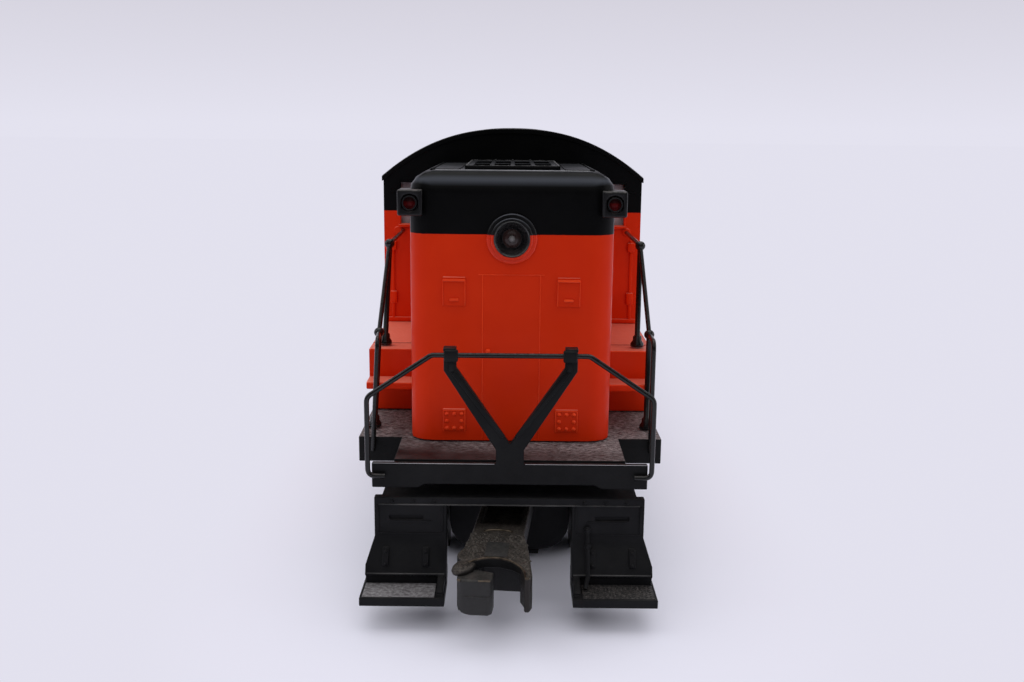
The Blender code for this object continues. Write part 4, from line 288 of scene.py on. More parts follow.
def deck_material():
    """Black die-cast metal, reddish brown on what faces up, with pale dust rubbed across its top.
    """
    made, tree, shader = new_material("frame_black", Specular_IOR_Level=0.10)
    where = place(tree)
    metal = blend(tree, noise(tree, where, 6.0), (0.007, 0.007, 0.0075), (0.013, 0.013, 0.0135))
    blotch = between(tree, noise(tree, where, 4.0, 6.0), 0.3, 0.7)
    reddish_top = blend(tree, blotch, (0.016, 0.008, 0.008), (0.050, 0.031, 0.031))
    streak = place(tree, (0.40, 1.0, 1.0))
    rubbed = between(tree, noise(tree, streak, 0.5, 9.0, 0.8), 0.44, 0.60)
    across, along, _ = axes(tree, where)
    reach = maths(tree, "ABSOLUTE", along)
    platform = between(tree, reach, 150.0 * MM, 143.5 * MM, 0.0, 0.9)
    walkway = between(tree, reach, 141.0 * MM, 132.0 * MM, 0.0, 0.8)
    patch = between(tree, noise(tree, where, 7.0, 4.0), 0.30, 0.60, 0.35, 1.0)
    side = between(tree, across, -20.0 * MM, 20.0 * MM, -0.18, 0.55)
    kept = times(tree, maths(tree, "ADD", platform, walkway), patch)
    kept = maths(tree, "MINIMUM", maths(tree, "ADD", kept, side), 1.1)
    dust = times(tree, rubbed, maths(tree, "MAXIMUM", kept))
    reddish_top = blend(tree, dust, reddish_top, (0.36, 0.32, 0.32))
    colour = blend(tree, facing_up(tree, 0.6, 0.95), metal, reddish_top)
    rough = between(tree, noise(tree, where, 2.0), 0.3, 0.7, 0.45, 0.62)
    finish(tree, shader, colour, rough, noise(tree, streak, 0.5, 4.0), 0.06)
    return made


def casting_material(name, dark, light, grain, depth, metallic):
    """Blackened casting with a pebbled skin, its raised pebbles facing up lighter with wear and
    painted highlight, and painted shade inside the coupler's throat.
    """
    made, tree, shader = new_material(name, Metallic=metallic, Specular_IOR_Level=0.4)
    where = place(tree)
    pebble = noise(tree, where, grain, 5.0, 0.7)
    upward = facing_up(tree, 0.1, 0.6)
    # Raised pebbles facing up turn lighter: wear, and painted highlight from the light above
    worn = times(tree, between(tree, pebble, 0.42, 0.68), upward)
    cover = times(tree, upward, between(tree, noise(tree, where, 2.0), 0.45, 0.75), 0.3)
    colour = blend(tree, cover, blend(tree, worn, dark, light), (0.13, 0.115, 0.10))
    # Painted shade in the throat: faces that don't face up, behind the jaw's front, turn almost
    # black
    along = maths(tree, "ABSOLUTE", axes(tree, where)["Y"])
    behind_jaw = between(tree, along, 171.0 * MM, 168.0 * MM)
    painted_throat_shade = times(tree, behind_jaw, maths(tree, "SUBTRACT", 1.0, upward))
    colour = blend(tree, painted_throat_shade, colour, (0.003, 0.003, 0.003))
    rough = between(tree, pebble, 0.3, 0.7, 0.62, 0.42)
    rise = between(tree, upward, 0.0, 1.0, 0.25, 1.0)
    finish(tree, shader, colour, rough, times(tree, pebble, rise), depth)
    return made


def metal_material(name, dark, light, rough, stretch=(1.0, 1.0, 1.0)):
    """Turned or brushed metal with a little tarnish."""
    made, tree, shader = new_material(name, Metallic=1.0)
    where = place(tree, stretch)
    tarnish = between(tree, noise(tree, where, 1.8, 5.0), 0.35, 0.7)
    spread = between(tree, noise(tree, where, 0.8), 0.3, 0.7, rough - 0.08, rough + 0.1)
    colour = blend(tree, tarnish, dark, light)
    finish(tree, shader, colour, spread, noise(tree, where, 0.4, 3.0), 0.008)
    return made


def glass_material(name, tint, deep, rough, share, gloss, shaded_above=None):
    """A clear or coloured moulding with streaks of haze, darker above a height under a hood."""
    made, tree, shader = new_material(
        name, Transmission_Weight=share, IOR=1.46, Specular_IOR_Level=gloss
    )
    where = place(tree, (1.0, 1.0, 0.12))
    haze = between(tree, noise(tree, where, 1.6, 5.0), 0.4, 0.75)
    colour = blend(tree, haze, tint, deep)
    if shaded_above:
        height = axes(tree, place(tree))["Z"]
        start, end = (shaded_above - 0.1) * MM, (shaded_above + 0.35) * MM
        shade = between(tree, height, start, end, 0.0, 0.8)
        colour = blend(tree, shade, colour, (0.004, 0.003, 0.003))
    spread = between(tree, haze, 0.0, 1.0, rough, rough + 0.12)
    finish(tree, shader, colour, spread, noise(tree, where, 3.0, 1.0), 0.002)
    return made


DUST = (0.20, 0.175, 0.165)
PALE_DUST_AND_HIGHLIGHT = (0.34, 0.33, 0.33)
TREAD_DUST = (0.34, 0.33, 0.34)
# Orange of painted highlights on raised trim
HIGHLIGHT_ORANGE = (0.84, 0.19, 0.06)
# Paint line, shares of painted highlight on the black's shoulders and of painted sheen on its top,
# darkening of the orange as painted shade, specular level, roughness
PAINTS = {
    "shell_paint": (HOOD_PAINT_LINE, 1.0, 0.7, 0.92),
    "cab_paint": (CAB_PAINT_LINE, 0.12, 0.25),
    "ring_paint": (HOOD_PAINT_LINE, 1.0, 1.0, 0.95, 0.26, 0.28),
}
# Darker and lighter tone, dust and its share, roughness, specular level, grain of dust, bump
WORN = {
    "truck_black": ((0.007, 0.007, 0.0078), (0.013, 0.013, 0.014), DUST, 0.25, 0.5, 0.10),
    "plastic_black": ((0.0055, 0.0055, 0.006), (0.0095, 0.0095, 0.010), DUST, 0.15, 0.42, 0.12),
    # Its dust on what faces up also paints the highlight along the wires' tops
    "wire_black": ((0.004, 0.004, 0.004), (0.009, 0.0085, 0.008), DUST, 0.35, 0.20, 0.35),
    "pilot_black": ((0.006, 0.006, 0.0068), (0.010, 0.010, 0.011), DUST, 0.06, 0.45, 0.12),
    # A lighter orange for raised trim and edges, as painted highlight
    "paint_highlight": ((0.70, 0.036, 0.004), (0.80, 0.058, 0.008), HIGHLIGHT_ORANGE, 0.35, 0.4, 0.18),
    # Its dust on what faces up also paints the highlight on the marker housings' tops
    "plastic_gloss": ((0.003, 0.003, 0.0034), (0.006, 0.006, 0.0064), DUST, 0.8, 0.34, 0.25),
    # Pale lines along rounded edges, as painted highlight
    "highlight_line": ((0.30, 0.30, 0.32), (0.50, 0.495, 0.52), DUST, 0.2, 0.5, 0.3),
    "gloss_black": ((0.005, 0.005, 0.0055), (0.010, 0.010, 0.0105), DUST, 0.1, 0.26, 0.6),
    # Dark with a lighter tone, for painted highlight lines along rims and edges
    "edge_highlight": ((0.012, 0.012, 0.0125), (0.075, 0.072, 0.07), DUST, 0.3, 0.42, 0.4),
    # Pale dust on the grille frame's tops, which also paints their highlight
    "grille_edge": ((0.007, 0.007, 0.0075), (0.013, 0.013, 0.0135), PALE_DUST_AND_HIGHLIGHT, 0.9, 0.42, 0.2),
    "seam_dark": ((0.10, 0.006, 0.003), (0.17, 0.012, 0.005), DUST, 0.05, 0.5, 0.1),
    "dusty_tread": (
        (0.085, 0.078, 0.080), (0.16, 0.15, 0.155), TREAD_DUST, 0.9, 0.7, 0.1, 0.8, 0.06
    ),
    "dimpled_tread": ((0.010, 0.010, 0.0105), (0.022, 0.021, 0.021), DUST, 0.45, 0.5, 0.2, 0.6),
    "board_green": ((0.012, 0.11, 0.04), (0.02, 0.19, 0.07), DUST, 0.2, 0.45, 0.5, 2.0),
}
# Darker and lighter tone, grain of the skin, its bump, metallic share
CASTINGS = {
    "coupler_casting": ((0.016, 0.013, 0.011), (0.10, 0.085, 0.072), 0.45, 0.10, 0.35),
    "knuckle_casting": ((0.020, 0.0195, 0.0185), (0.040, 0.038, 0.036), 0.7, 0.03, 0.2),
}
# Darker and lighter tone, roughness, stretch of the brushing
METALS = {
    "worn_bronze": ((0.050, 0.041, 0.031), (0.20, 0.16, 0.12), 0.42),
    "wheel_steel": ((0.10, 0.098, 0.095), (0.28, 0.27, 0.26), 0.38),
    "shaft_steel": ((0.42, 0.41, 0.40), (0.6, 0.6, 0.59), 0.3, (0.2, 1.0, 1.0)),
    "gear_brass": ((0.42, 0.28, 0.10), (0.72, 0.52, 0.22), 0.32),
    "motor_can": ((0.34, 0.34, 0.35), (0.52, 0.52, 0.53), 0.34, (1.0, 1.0, 0.2)),
}
# Tint, deeper tint, roughness, transmission, specular level, height of the shade
GLASSES = {
    "clear_glazing": ((0.66, 0.60, 0.61), (0.30, 0.25, 0.26), 0.14, 0.45, 0.5),
    "red_lens": (
        (0.085, 0.0006, 0.001), (0.030, 0.0003, 0.0005), 0.35, 0.0, 0.12, MARKER[2] + 0.1
    ),
    "amber_lens": ((0.045, 0.022, 0.019), (0.022, 0.013, 0.012), 0.22, 0.25, 0.3),
    "bulb_glass": ((0.20, 0.185, 0.18), (0.11, 0.10, 0.095), 0.22, 0.2, 0.3),
}
LOOKS = {"frame_black": deck_material()}
for maker, table in (
    (paint_material, PAINTS),
    (worn_surface, WORN),
    (casting_material, CASTINGS),
    (metal_material, METALS),
    (glass_material, GLASSES),
):
    for look, values in table.items():
        LOOKS[look] = maker(look, *values)


# Shapes


def solid(bm, sharp=40):
    """A mesh object from a bmesh, smooth up to an angle."""
    bmesh.ops.recalc_face_normals(bm, faces=bm.faces)
    mesh = bpy.data.meshes.new("piece")
    bm.to_mesh(mesh)
    bm.free()
    mesh.shade_smooth()
    mesh.set_sharp_from_angle(angle=math.radians(sharp))
    return bpy.data.objects.new("piece", mesh)


def gather(*parts):
    """One bmesh from several, which are freed."""
    whole = bmesh.new()
    for part in parts:
        mesh = bpy.data.meshes.new("part")
        part.to_mesh(mesh)
        part.free()
        whole.from_mesh(mesh)
        bpy.data.meshes.remove(mesh)
    return whole


def turn(bm, matrix):
    bmesh.ops.transform(bm, matrix=matrix, verts=bm.verts)
    return bm


def block(low, high, rounding=0.1, steps=2):
    """A box with its edges rounded, between two corners."""
    low, high = Vector(low), Vector(high)
    bm = bmesh.new()
    bmesh.ops.create_cube(bm, size=1.0)
    bmesh.ops.scale(bm, vec=(high - low) * MM, verts=bm.verts)
    bmesh.ops.translate(bm, vec=(low + high) / 2 * MM, verts=bm.verts)
    bmesh.ops.bevel(
        bm, geom=bm.edges[:], offset=rounding * MM, segments=steps, profile=0.5, affect="EDGES"
    )
    return bm


def lathe(profile, matrix, sides=32):
    """A profile of (radius, station) turned about Z, and placed."""
    bm = bmesh.new()
    angles = [2 * math.pi * i / sides for i in range(sides)]
    rings = []
    for radius, station in profile:
        z, reach = station * MM, radius * MM
        if radius == 0:
            rings.append([bm.verts.new((0, 0, z))])
        else:
            spots = [(reach * math.cos(t), reach * math.sin(t), z) for t in angles]
            rings.append([bm.verts.new(spot) for spot in spots])
    for ring, after in zip(rings, rings[1:]):
        for i in range(sides):
            corners = [ring[i % len(ring)], ring[(i + 1) % len(ring)]]
            corners += [after[(i + 1) % len(after)], after[i % len(after)]]
            bm.faces.new(list(dict.fromkeys(corners)))
    return turn(bm, matrix)


def looking_forward(x, y, z):
    """A place on a front face, with the turning axis towards -Y."""
    return at(x, y, z) @ FORWARD


def sideways(sign):
    """Turns the turning axis outwards on one side."""
    return Matrix.Rotation(sign * math.pi / 2, 4, "Y")


def rivets(places, radius, matrix, height=0.6, sides=10):
    """Round heads at places, on a face that the matrix turns to."""
    profile = [(0.0, radius * height)]
    for step in range(1, 4):
        angle = math.pi / 2 * step / 3
        profile.append((radius * math.sin(angle), radius * height * math.cos(angle)))
    profile.append((radius, -0.1))
    return gather(*(turn(lathe(profile, matrix, sides), at(*spot)) for spot in places))


def bent(points, bend, steps=6):
    """The path of a bent wire: points with each inner corner rounded."""
    points = [Vector(p) for p in points]
    path = [points[0]]
    for before, corner, after in zip(points, points[1:], points[2:]):
        back = (before - corner).normalized()
        on = (after - corner).normalized()
        shorter = min((before - corner).length, (after - corner).length)
        reach = min(bend / math.tan(back.angle(on) / 2), 0.45 * shorter)
        start, end = corner + back * reach, corner + on * reach
        for i in range(steps + 1):
            t = i / steps
            path.append(start * (1 - t) ** 2 + corner * 2 * t * (1 - t) + end * t * t)
    path.append(points[-1])
    return path


def wire(points, diameter, sides=4):
    """A round wire along points."""
    curve = bpy.data.curves.new("wire", "CURVE")
    curve.dimensions = "3D"
    curve.bevel_depth = diameter / 2 * MM
    curve.bevel_resolution = sides
    curve.use_fill_caps = True
    spline = curve.splines.new("POLY")
    spline.points.add(len(points) - 1)
    for point, spot in zip(spline.points, points):
        point.co = (*(Vector(spot) * MM), 1.0)
    spline.use_smooth = True
    obj = bpy.data.objects.new("wire", curve)
    link(obj)
    graph = bpy.context.evaluated_depsgraph_get()
    mesh = bpy.data.meshes.new_from_object(obj.evaluated_get(graph))
    bpy.data.objects.remove(obj, do_unlink=True)
    bm = bmesh.new()
    bm.from_mesh(mesh)
    bpy.data.meshes.remove(mesh)
    return bm


def span(sign, near, far):
    """Two distances from the middle on one side, lowest first."""
    return sorted((sign * near, sign * far))


def slat(start, end, face, width, height, rounding=0.06):
    """A raised bar on a face towards -Y, between two places (x, z)."""
    start, end = Vector(start), Vector(end)
    run = end - start
    rounding = min(rounding, 0.45 * width)
    bar = block((0, -height, -width / 2), (run.length, 0.2, width / 2), rounding)
    tilt = Matrix.Rotation(-math.atan2(run.y, run.x), 4, "Y")
    return turn(bar, at(start.x, face, start.y) @ tilt)


def upright(x, foot, top, face, *section):
    """A slat that stands on one place across."""
    return slat((x, foot), (x, top), face, *section)


def level(left, right, z, face, *section):
    """A slat that lies at one height."""
    return slat((left, z), (right, z), face, *section)


# Pieces


def put(name, obj, body, look, replaces=()):
    """Names a piece, gives it its look and sets it on its body."""
    obj.name = name
    obj.data.name = name
    obj.data.materials.clear()
    obj.data.materials.append(LOOKS[look])
    link(obj)
    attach(obj, body)
    if replaces:
        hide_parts(*replaces)


def add(name, look, slot, *parts, body="chassis", facing=FRONT, sharp=40, replaces=()):
    """A piece from several shapes, turned to its place on the chassis or another body."""
    put(name, solid(turn(gather(*parts), facing), sharp), body, look, replaces)


def widened(bm):
    """Moves the rounded side walls of a hood out, more and more towards the wall."""
    start, run = 14.0, 5.5
    for vert in bm.verts:
        across = abs(vert.co.x)
        if across < (HOOD_HALF + 0.4) * MM:
            share = min(1.0, max(0.0, (across / MM - start) / run))
            vert.co.x += math.copysign(HOOD_SWELL * MM * share, vert.co.x)


def dressed(node, look, rounding, steps=2, outer_only=False):
    """A finished copy of a CAD node: its facets joined, its edges rounded and its curves smooth."""
    source = frame["nodes"][node]
    sharp = math.radians(SHARP)
    bm = bmesh.new()
    bm.from_mesh(source.data)
    bmesh.ops.remove_doubles(bm, verts=bm.verts, dist=0.001 * MM)
    bmesh.ops.dissolve_limit(
        bm, angle_limit=math.radians(0.5), verts=bm.verts, edges=bm.edges, delimit={"NORMAL"}
    )
    bmesh.ops.triangulate(bm, faces=[face for face in bm.faces if len(face.verts) > 4])
    if node in ("short_hood", "long_hood"):
        widened(bm)
    if outer_only:
        outer = bm.edges.layers.float.new("bevel_weight_edge")
        for edge in bm.edges:
            if edge.is_manifold and edge.calc_face_angle_signed() > sharp:
                edge[outer] = 1.0
    obj = solid(bm, SHARP)
    if rounding:
        bevel = obj.modifiers.new("edges", "BEVEL")
        bevel.width = rounding * MM
        bevel.segments = steps
        bevel.limit_method = "WEIGHT" if outer_only else "ANGLE"
        bevel.angle_limit = sharp
        bevel.use_clamp_overlap = False
        bevel.miter_outer = "MITER_ARC"
        flats = obj.modifiers.new("flats", "WEIGHTED_NORMAL")
        flats.keep_sharp = True
    put(f"{node}_finish", obj, source["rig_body"], look, (node,))


def dress_nodes():
    """Every CAD node that keeps its own form."""
    for node in ("short_hood", "long_hood"):
        dressed(node, "shell_paint", 0.10)
    dressed("cab", "cab_paint", 0.10)
    dressed("frame", "frame_black", 0.15)
    dressed("cab_glazing", "clear_glazing", 0.0)
    dressed("fuel_tank", "plastic_black", 0.3)
    dressed("control_board", "board_green", 0.1)
    for end, _ in ENDS:
        dressed(f"{end}_end_beam", "plastic_black", 0.2)
        for side, _ in SIDES:
            dressed(f"{end}_{side}_marker_housing", "plastic_gloss", 0.42, 3)
            dressed(f"{end}_{side}_marker_lens", "red_lens", 0.0)
            dressed(f"{end}_sideframe_{side}", "truck_black", 0.25)
            for kind in ("drive", "idle"):
                dressed(f"{end}_{kind}_wheel_{side}", "wheel_steel", 0.0)
        for kind in ("drive", "idle"):
            dressed(f"{end}_{kind}_axle", "shaft_steel", 0.0)
        dressed(f"{end}_gear_block", "truck_black", 0.2)
        dressed(f"{end}_gear_cover", "truck_black", 0.15)
        dressed(f"{end}_pilot", "pilot_black", 0.18)
        dressed(f"{end}_motor", "motor_can", 0.0)
        dressed(f"{end}_worm_shaft", "gear_brass", 0.0)
        dressed(f"{end}_coupler", "coupler_casting", 0.35, 3, outer_only=True)
        dressed(f"{end}_knuckle", "knuckle_casting", 0.45, 3, outer_only=True)
        dressed(f"{end}_pickup_arm", "gear_brass", 0.1)
        dressed(f"{end}_pickup_roller", "shaft_steel", 0.0)


def rail_post(x, y, foot, height, lean=0.0):
    """A turned stanchion with a flanged socket and a ball eye, its top leaning across."""
    ball = 1.05
    profile = [(0.0, height + ball)]
    for step in range(1, 8):
        angle = math.pi * (0.06 + 0.86 * step / 8)
        profile.append((1.1 * math.sin(angle), height + ball * math.cos(angle)))
    profile += [(0.6, height - 1.15), (0.6, 2.5), (0.95, 2.2), (1.0, 1.3), (1.45, 0.7)]
    profile += [(1.5, 0.08), (1.42, 0.0), (0.0, 0.0)]
    tilt = Matrix.Shear("XY", 4, (lean / height, 0.0))
    return lathe(profile, at(x, y, foot) @ tilt, 20)


def add_rail(name, *parts, facing=FRONT):
    """A wire rail in place of its CAD node."""
    rail = solid(turn(gather(*parts), facing), SMOOTH)
    put(f"{name}_finish", rail, "chassis", "wire_black", (name,))


def rails():
    """The wire rails of both ends and both sides, with their stanchions."""
    rail_y, bend = -155.8, 1.8
    half = [(24.0, rail_y, 28.4), (27.3, rail_y, 28.4), (27.3, rail_y, 44.0), (14.9, rail_y, 52.3)]
    points = half + [(-x, y, z) for x, y, z in reversed(half)]
    for end, facing in ENDS:
        add_rail(f"{end}_end_rail", wire(bent(points, 1.9), WIRE), facing=facing)
    post_y, post_foot, post_height = STEP_POST
    for side, sign in SIDES:
        x, step_x = sign * RAIL_X, sign * STEP_RAIL_X
        lean = 0.0 if sign > 0 else BENT_RAIL_LEAN
        inward = 0.5 * lean
        path = [
            (x + inward, -RAIL_END, RAIL_FOOT),
            (x + lean + inward, -RAIL_END, RAIL_TOP),
            (x + lean, -POST_Y, RAIL_TOP),
            (step_x + lean, post_y, STEP_RAIL_TOP),
            (step_x + lean, CAB_FRONT - 0.3, STEP_RAIL_TOP),
        ]
        parts = [wire(bent(path, bend), WIRE)]
        parts.append(rail_post(x, -POST_Y, SEAT, POST_HEIGHT, lean))
        parts.append(rail_post(step_x, post_y, post_foot, post_height, lean))
        add_rail(f"{side}_step_rail", *parts)
        path = [(x, RAIL_END, RAIL_FOOT), (x, RAIL_END, RAIL_TOP), (x, CAB_REAR + 0.3, RAIL_TOP)]
        parts = [wire(bent(path, bend), WIRE)]
        for i in range(POST_COUNT):
            parts.append(rail_post(x, POST_Y - i * POST_PITCH, SEAT, POST_HEIGHT))
        add_rail(f"{side}_walkway_rail", *parts)


def headlights():
    """A dark bezel with a brown lens and a bulb in each headlight ring."""
    bezel = [(0.0, -1.2), (3.6, -1.2), (3.6, 1.45), (3.55, 1.58), (3.45, 1.64), (3.35, 1.58)]
    bezel += [(3.0, 1.05), (2.3, 0.1), (1.95, -0.45), (0.0, -0.45)]
    rings = [(3.55, -0.4), (3.55, 1.2), (3.62, 1.36), (4.0, 1.36), (4.15, 1.22), (4.18, 0.78)]
    rings += [(4.8, 0.76), (4.97, 0.62), (5.02, -0.4)]
    lens = [(0.0, 0.25), (0.9, 0.18), (1.5, -0.02), (1.88, -0.3), (1.88, -0.42), (0.0, -0.42)]
    bulb = [(0.0, 0.85), (0.3, 0.78), (0.55, 0.58), (0.66, 0.3), (0.66, 0.0), (0.0, 0.0)]
    for end, facing in ENDS:
        seat = facing @ looking_forward(0, HOOD_FACE, HEADLIGHT_Z)
        name, glass = f"{end}_headlight", "clear_glazing"
        add(f"{name}_bezel", "gloss_black", "plastic_black", lathe(bezel, seat, 48))
        add(f"{name}_rings", "ring_paint", "shell_paint", lathe(rings, seat, 64), sharp=30)
        add(f"{name}_bulb", "bulb_glass", glass, lathe(bulb, seat, 24))
        add(f"{name}_lens", "amber_lens", glass, lathe(lens, seat, 40), replaces=(name,))


def hood_faces():
    """Hatch hinges and latches, the middle door's seams, its knob and the riveted plates, in a
    lighter orange as painted highlight.
    """
    face, edges = HOOD_FACE, (-2.2, 2.2)
    door_half, door_foot, door_top = 5.75, 31.7, 65.6
    hatch_foot, latch_z, hatch_top = 59.4, 60.6, 64.5
    plate_foot, plate_z, plate_top = 33.3, 35.5, 37.7
    seam, hatch_trim, plate_trim = (0.16, 0.12), (0.16, 0.58), (0.2, 0.42)
    pitch = (-1.5, 0.0, 1.5)
    knob = [(0.0, 0.95), (0.34, 0.85), (0.5, 0.55), (0.42, 0.25), (0.3, 0.1), (0.3, -0.2)]
    knob.append((0.0, -0.2))
    for end, facing in ENDS:
        parts = [level(-6.6, 6.6, door_top, face, *seam)]
        for sign in (-1, 1):
            x = sign * HATCH_X
            parts.append(level(x - 2.25, x + 2.25, hatch_top, face, 0.45, 0.9, 0.18))
            parts.append(level(x - 0.92, x + 0.92, latch_z, face, 0.5, 0.95, 0.18))
            parts += [upright(x + u, hatch_foot, hatch_top, face, *hatch_trim) for u in edges]
            parts.append(upright(sign * door_half, door_foot, door_top, face, *seam))
            parts += [upright(x + u, plate_foot, plate_top, face, *plate_trim) for u in edges]
            parts.append(level(x + edges[0], x + edges[1], plate_top, face, *plate_trim))
            places = [(x + u, face - 0.35, plate_z + v) for u in pitch for v in pitch if u or v]
            parts.append(rivets(places, 0.42, FORWARD, 0.9))
        parts.append(lathe(knob, looking_forward(-4.6, face, 50.2), 16))
        # The trim takes a lighter orange as painted highlight
        add(f"{end}_hood_face_details", "paint_highlight", "shell_paint", *parts, facing=facing)


def marker_rims():
    """A raised rim round each marker lens."""
    x, y, z = MARKER
    rim = [(1.18, -0.1), (1.2, 0.30), (1.3, 0.40), (1.42, 0.32), (1.48, -0.1), (1.18, -0.1)]
    for end, facing in ENDS:
        for side, sign in SIDES:
            shape = lathe(rim, facing @ looking_forward(sign * x, y, z), 28)
            add(f"{end}_{side}_marker_rim", "pilot_black", "plastic_black", shape)


def roof_panels():
    """Raised borders of the grille and of the two panels beside it, and a painted highlight line
    along the roof's front edge.
    """
    inner, outer, front, back, foot, top = 9.25, 9.65, -133.1, -99.9, 86.2, 86.75
    near, far, panel_front, sunk, raised, strip = 10.6, 16.55, -135.0, 85.7, 86.08, 0.35
    frame_bars, borders = [], []
    for sign in (-1, 1):
        low, high = span(sign, inner, outer)
        frame_bars.append(block((low, front, foot), (high, back, top)))
        for edge in (near, far - strip):
            low, high = span(sign, edge, edge + strip)
            borders.append(block((low, panel_front, sunk), (high, -95.4, raised)))
        low, high = span(sign, near, far)
        for y in (panel_front, -95.8):
            borders.append(block((low, y, sunk), (high, y + strip, raised)))
    for y in (front, back - 0.4):
        frame_bars.append(block((-outer, y, foot), (outer, y + 0.4, top)))
    heads = [(x, -100.1, top - 0.05) for x in (-4.0, 0.0, 4.0)]
    frame_bars.append(rivets(heads, 0.28, UPWARD, 0.9))
    # The grille frame's tops are pale: dust and painted highlight
    add("roof_grille_frame", "grille_edge", "shell_paint", *frame_bars)
    add("roof_panel_borders", "shell_paint", "shell_paint", *borders)
    for end, facing in ENDS:
        # A painted highlight line along the roof's front edge
        line = wire([(x, -136.9, HOOD_TOP - 0.04) for x in (-15.4, 15.4)], 0.26)
        add(f"{end}_roof_edge", "highlight_line", "shell_paint", line, facing=facing)


def cab_ends():
    """Roof rims as painted highlight lines, window frames and sills of both cab ends, and the front
    doors' edges.
    """
    arch_half, arch_rise, arch_power, steps = 31.3, 11.2, 2.36, 48
    window_near, window_far, window_foot, window_top = 20.8, 27.3, 70.9, 81.2
    plate = [(0.0, 0.5), (0.9, 0.45), (1.05, 0.3), (1.05, -0.2), (0.0, -0.2)]
    arch = []
    for i in range(steps + 1):
        x = -arch_half + 2 * arch_half * i / steps
        arch.append((x, CAB_CROWN - arch_rise * abs(x / CAB_HALF) ** arch_power - 0.13))
    for name, face, facing in (("front", CAB_FRONT, FRONT), ("rear", -CAB_REAR, REAR)):
        # A painted highlight line along the roof's front rim
        rim = wire([(x, face - 0.25, z) for x, z in arch], 0.24)
        add(f"cab_{name}_roof_rim", "edge_highlight", "shell_paint", rim, facing=facing, sharp=SMOOTH)
        parts = []
        for sign in (-1, 1):
            for x in (window_near, window_far):
                parts.append(upright(sign * x, window_foot, window_top, face, 0.4, 0.3))
            parts.append(level(sign * 20.6, sign * 27.5, window_top, face, 0.4, 0.3))
            parts.append(level(sign * 20.4, sign * 27.7, 70.6, face, 0.7, 0.7, 0.2))
            if name == "rear":
                continue
            parts.append(upright(sign * 29.1, 47.6, 67.6, face, 0.8, 0.4, 0.2))
            for low, high in ((51.6, 54.6), (64.6, 66.9)):
                parts.append(upright(sign * 29.0, low, high, face, 1.7, 0.9, 0.3))
            parts.append(level(sign * 20.3, sign * 30.6, 47.5, face, 1.1, 0.5, 0.2))
            parts.append(level(sign * 27.9, sign * 29.7, 79.1, face, 0.4, 0.4, 0.15))
            seat = looking_forward(sign * STEP_RAIL_X, face, STEP_RAIL_TOP)
            parts.append(lathe(plate, seat, 20))
        add(f"cab_{name}_details", "cab_paint", "shell_paint", *parts, facing=facing)


def battery_boxes():
    """The nosing of each step, painted highlight lines along the step's and the box's front edges,
    and the seam across each box lid.
    """
    for side, sign in SIDES:
        low, high = span(sign, 20.05, 30.75)
        corner = (low, STEP_FACE - 0.8, STEP_TOP - 1.45)
        nosing = block(corner, (high, STEP_FACE + 0.6, STEP_TOP + 0.06), 0.3, 3)
        add(f"{side}_step_nosing", "shell_paint", "shell_paint", nosing)
        # Painted highlight lines along the front top edges of the step and the box
        edges = []
        for y, z in ((STEP_FACE - 0.62, STEP_TOP - 0.12), (BOX_FACE, BOX_TOP - 0.1)):
            edges.append(wire([(x, y, z) for x in (low + 0.2, high - 0.2)], 0.34))
        add(f"{side}_nosing_highlight", "paint_highlight", "shell_paint", *edges)
        seam = block((low, -119.1, BOX_TOP - 0.2), (high, -118.8, BOX_TOP + 0.06), 0.05)
        add(f"{side}_box_seam", "seam_dark", "shell_paint", seam)


def end_beams():
    """The ribs and clips of the forked brace, and a line of wear and painted highlight along each
    beam's top edge.
    """
    rib = (0.28, 0.14)
    clip_foot, clip_top = 51.1, 53.4
    for end, facing in ENDS:
        parts, edges = [], []
        for sign in (-1, 1):
            parts.append(slat((sign * 1.3, 36.2), (sign * 10.9, 48.9), BEAM_FACE, 0.9, *rib))
            parts.append(upright(sign * 11.2, 49.1, 51.2, BEAM_FACE, 1.0, *rib))
            low, high = span(sign, 9.9, 12.5)
            corner = (low, BEAM_FACE - 1.5, clip_foot)
            parts.append(block(corner, (high, BEAM_FACE - 0.2, clip_top), 0.35, 3))
            ends = span(sign, 3.0, 26.4)
            # A line of wear and painted highlight along the beam's top edge
            edges.append(wire([(x, BEAM_FACE + 0.12, BEAM_TOP - 0.05) for x in ends], 0.13))
        add(f"{end}_brace_ribs", "plastic_black", "plastic_black", *parts, facing=facing)
        add(f"{end}_beam_highlights", "highlight_line", "frame_black", *edges, facing=facing)


def apron_place(share, out=0.0):
    """A station (y, z) on the pilot's leaning apron, and how far out from it."""
    foot_y, foot_z = APRON_EDGE
    run = Vector((foot_y - PILOT_FACE, foot_z - APRON_TOP))
    normal = Vector((run.y, -run.x)).normalized()
    return Vector((PILOT_FACE, APRON_TOP)) + run * share + normal * out


def tread_dots(low):
    """The places of a dimpled tread's rows of dots."""
    dots = []
    for i in range(17):
        for j in range(7):
            y = -163.1 + 0.82 * j + 0.2 * (i % 2)
            dots.append((low + 0.6 + 0.78 * i, y, FOOTBOARD_TOP + 0.1))
    return dots


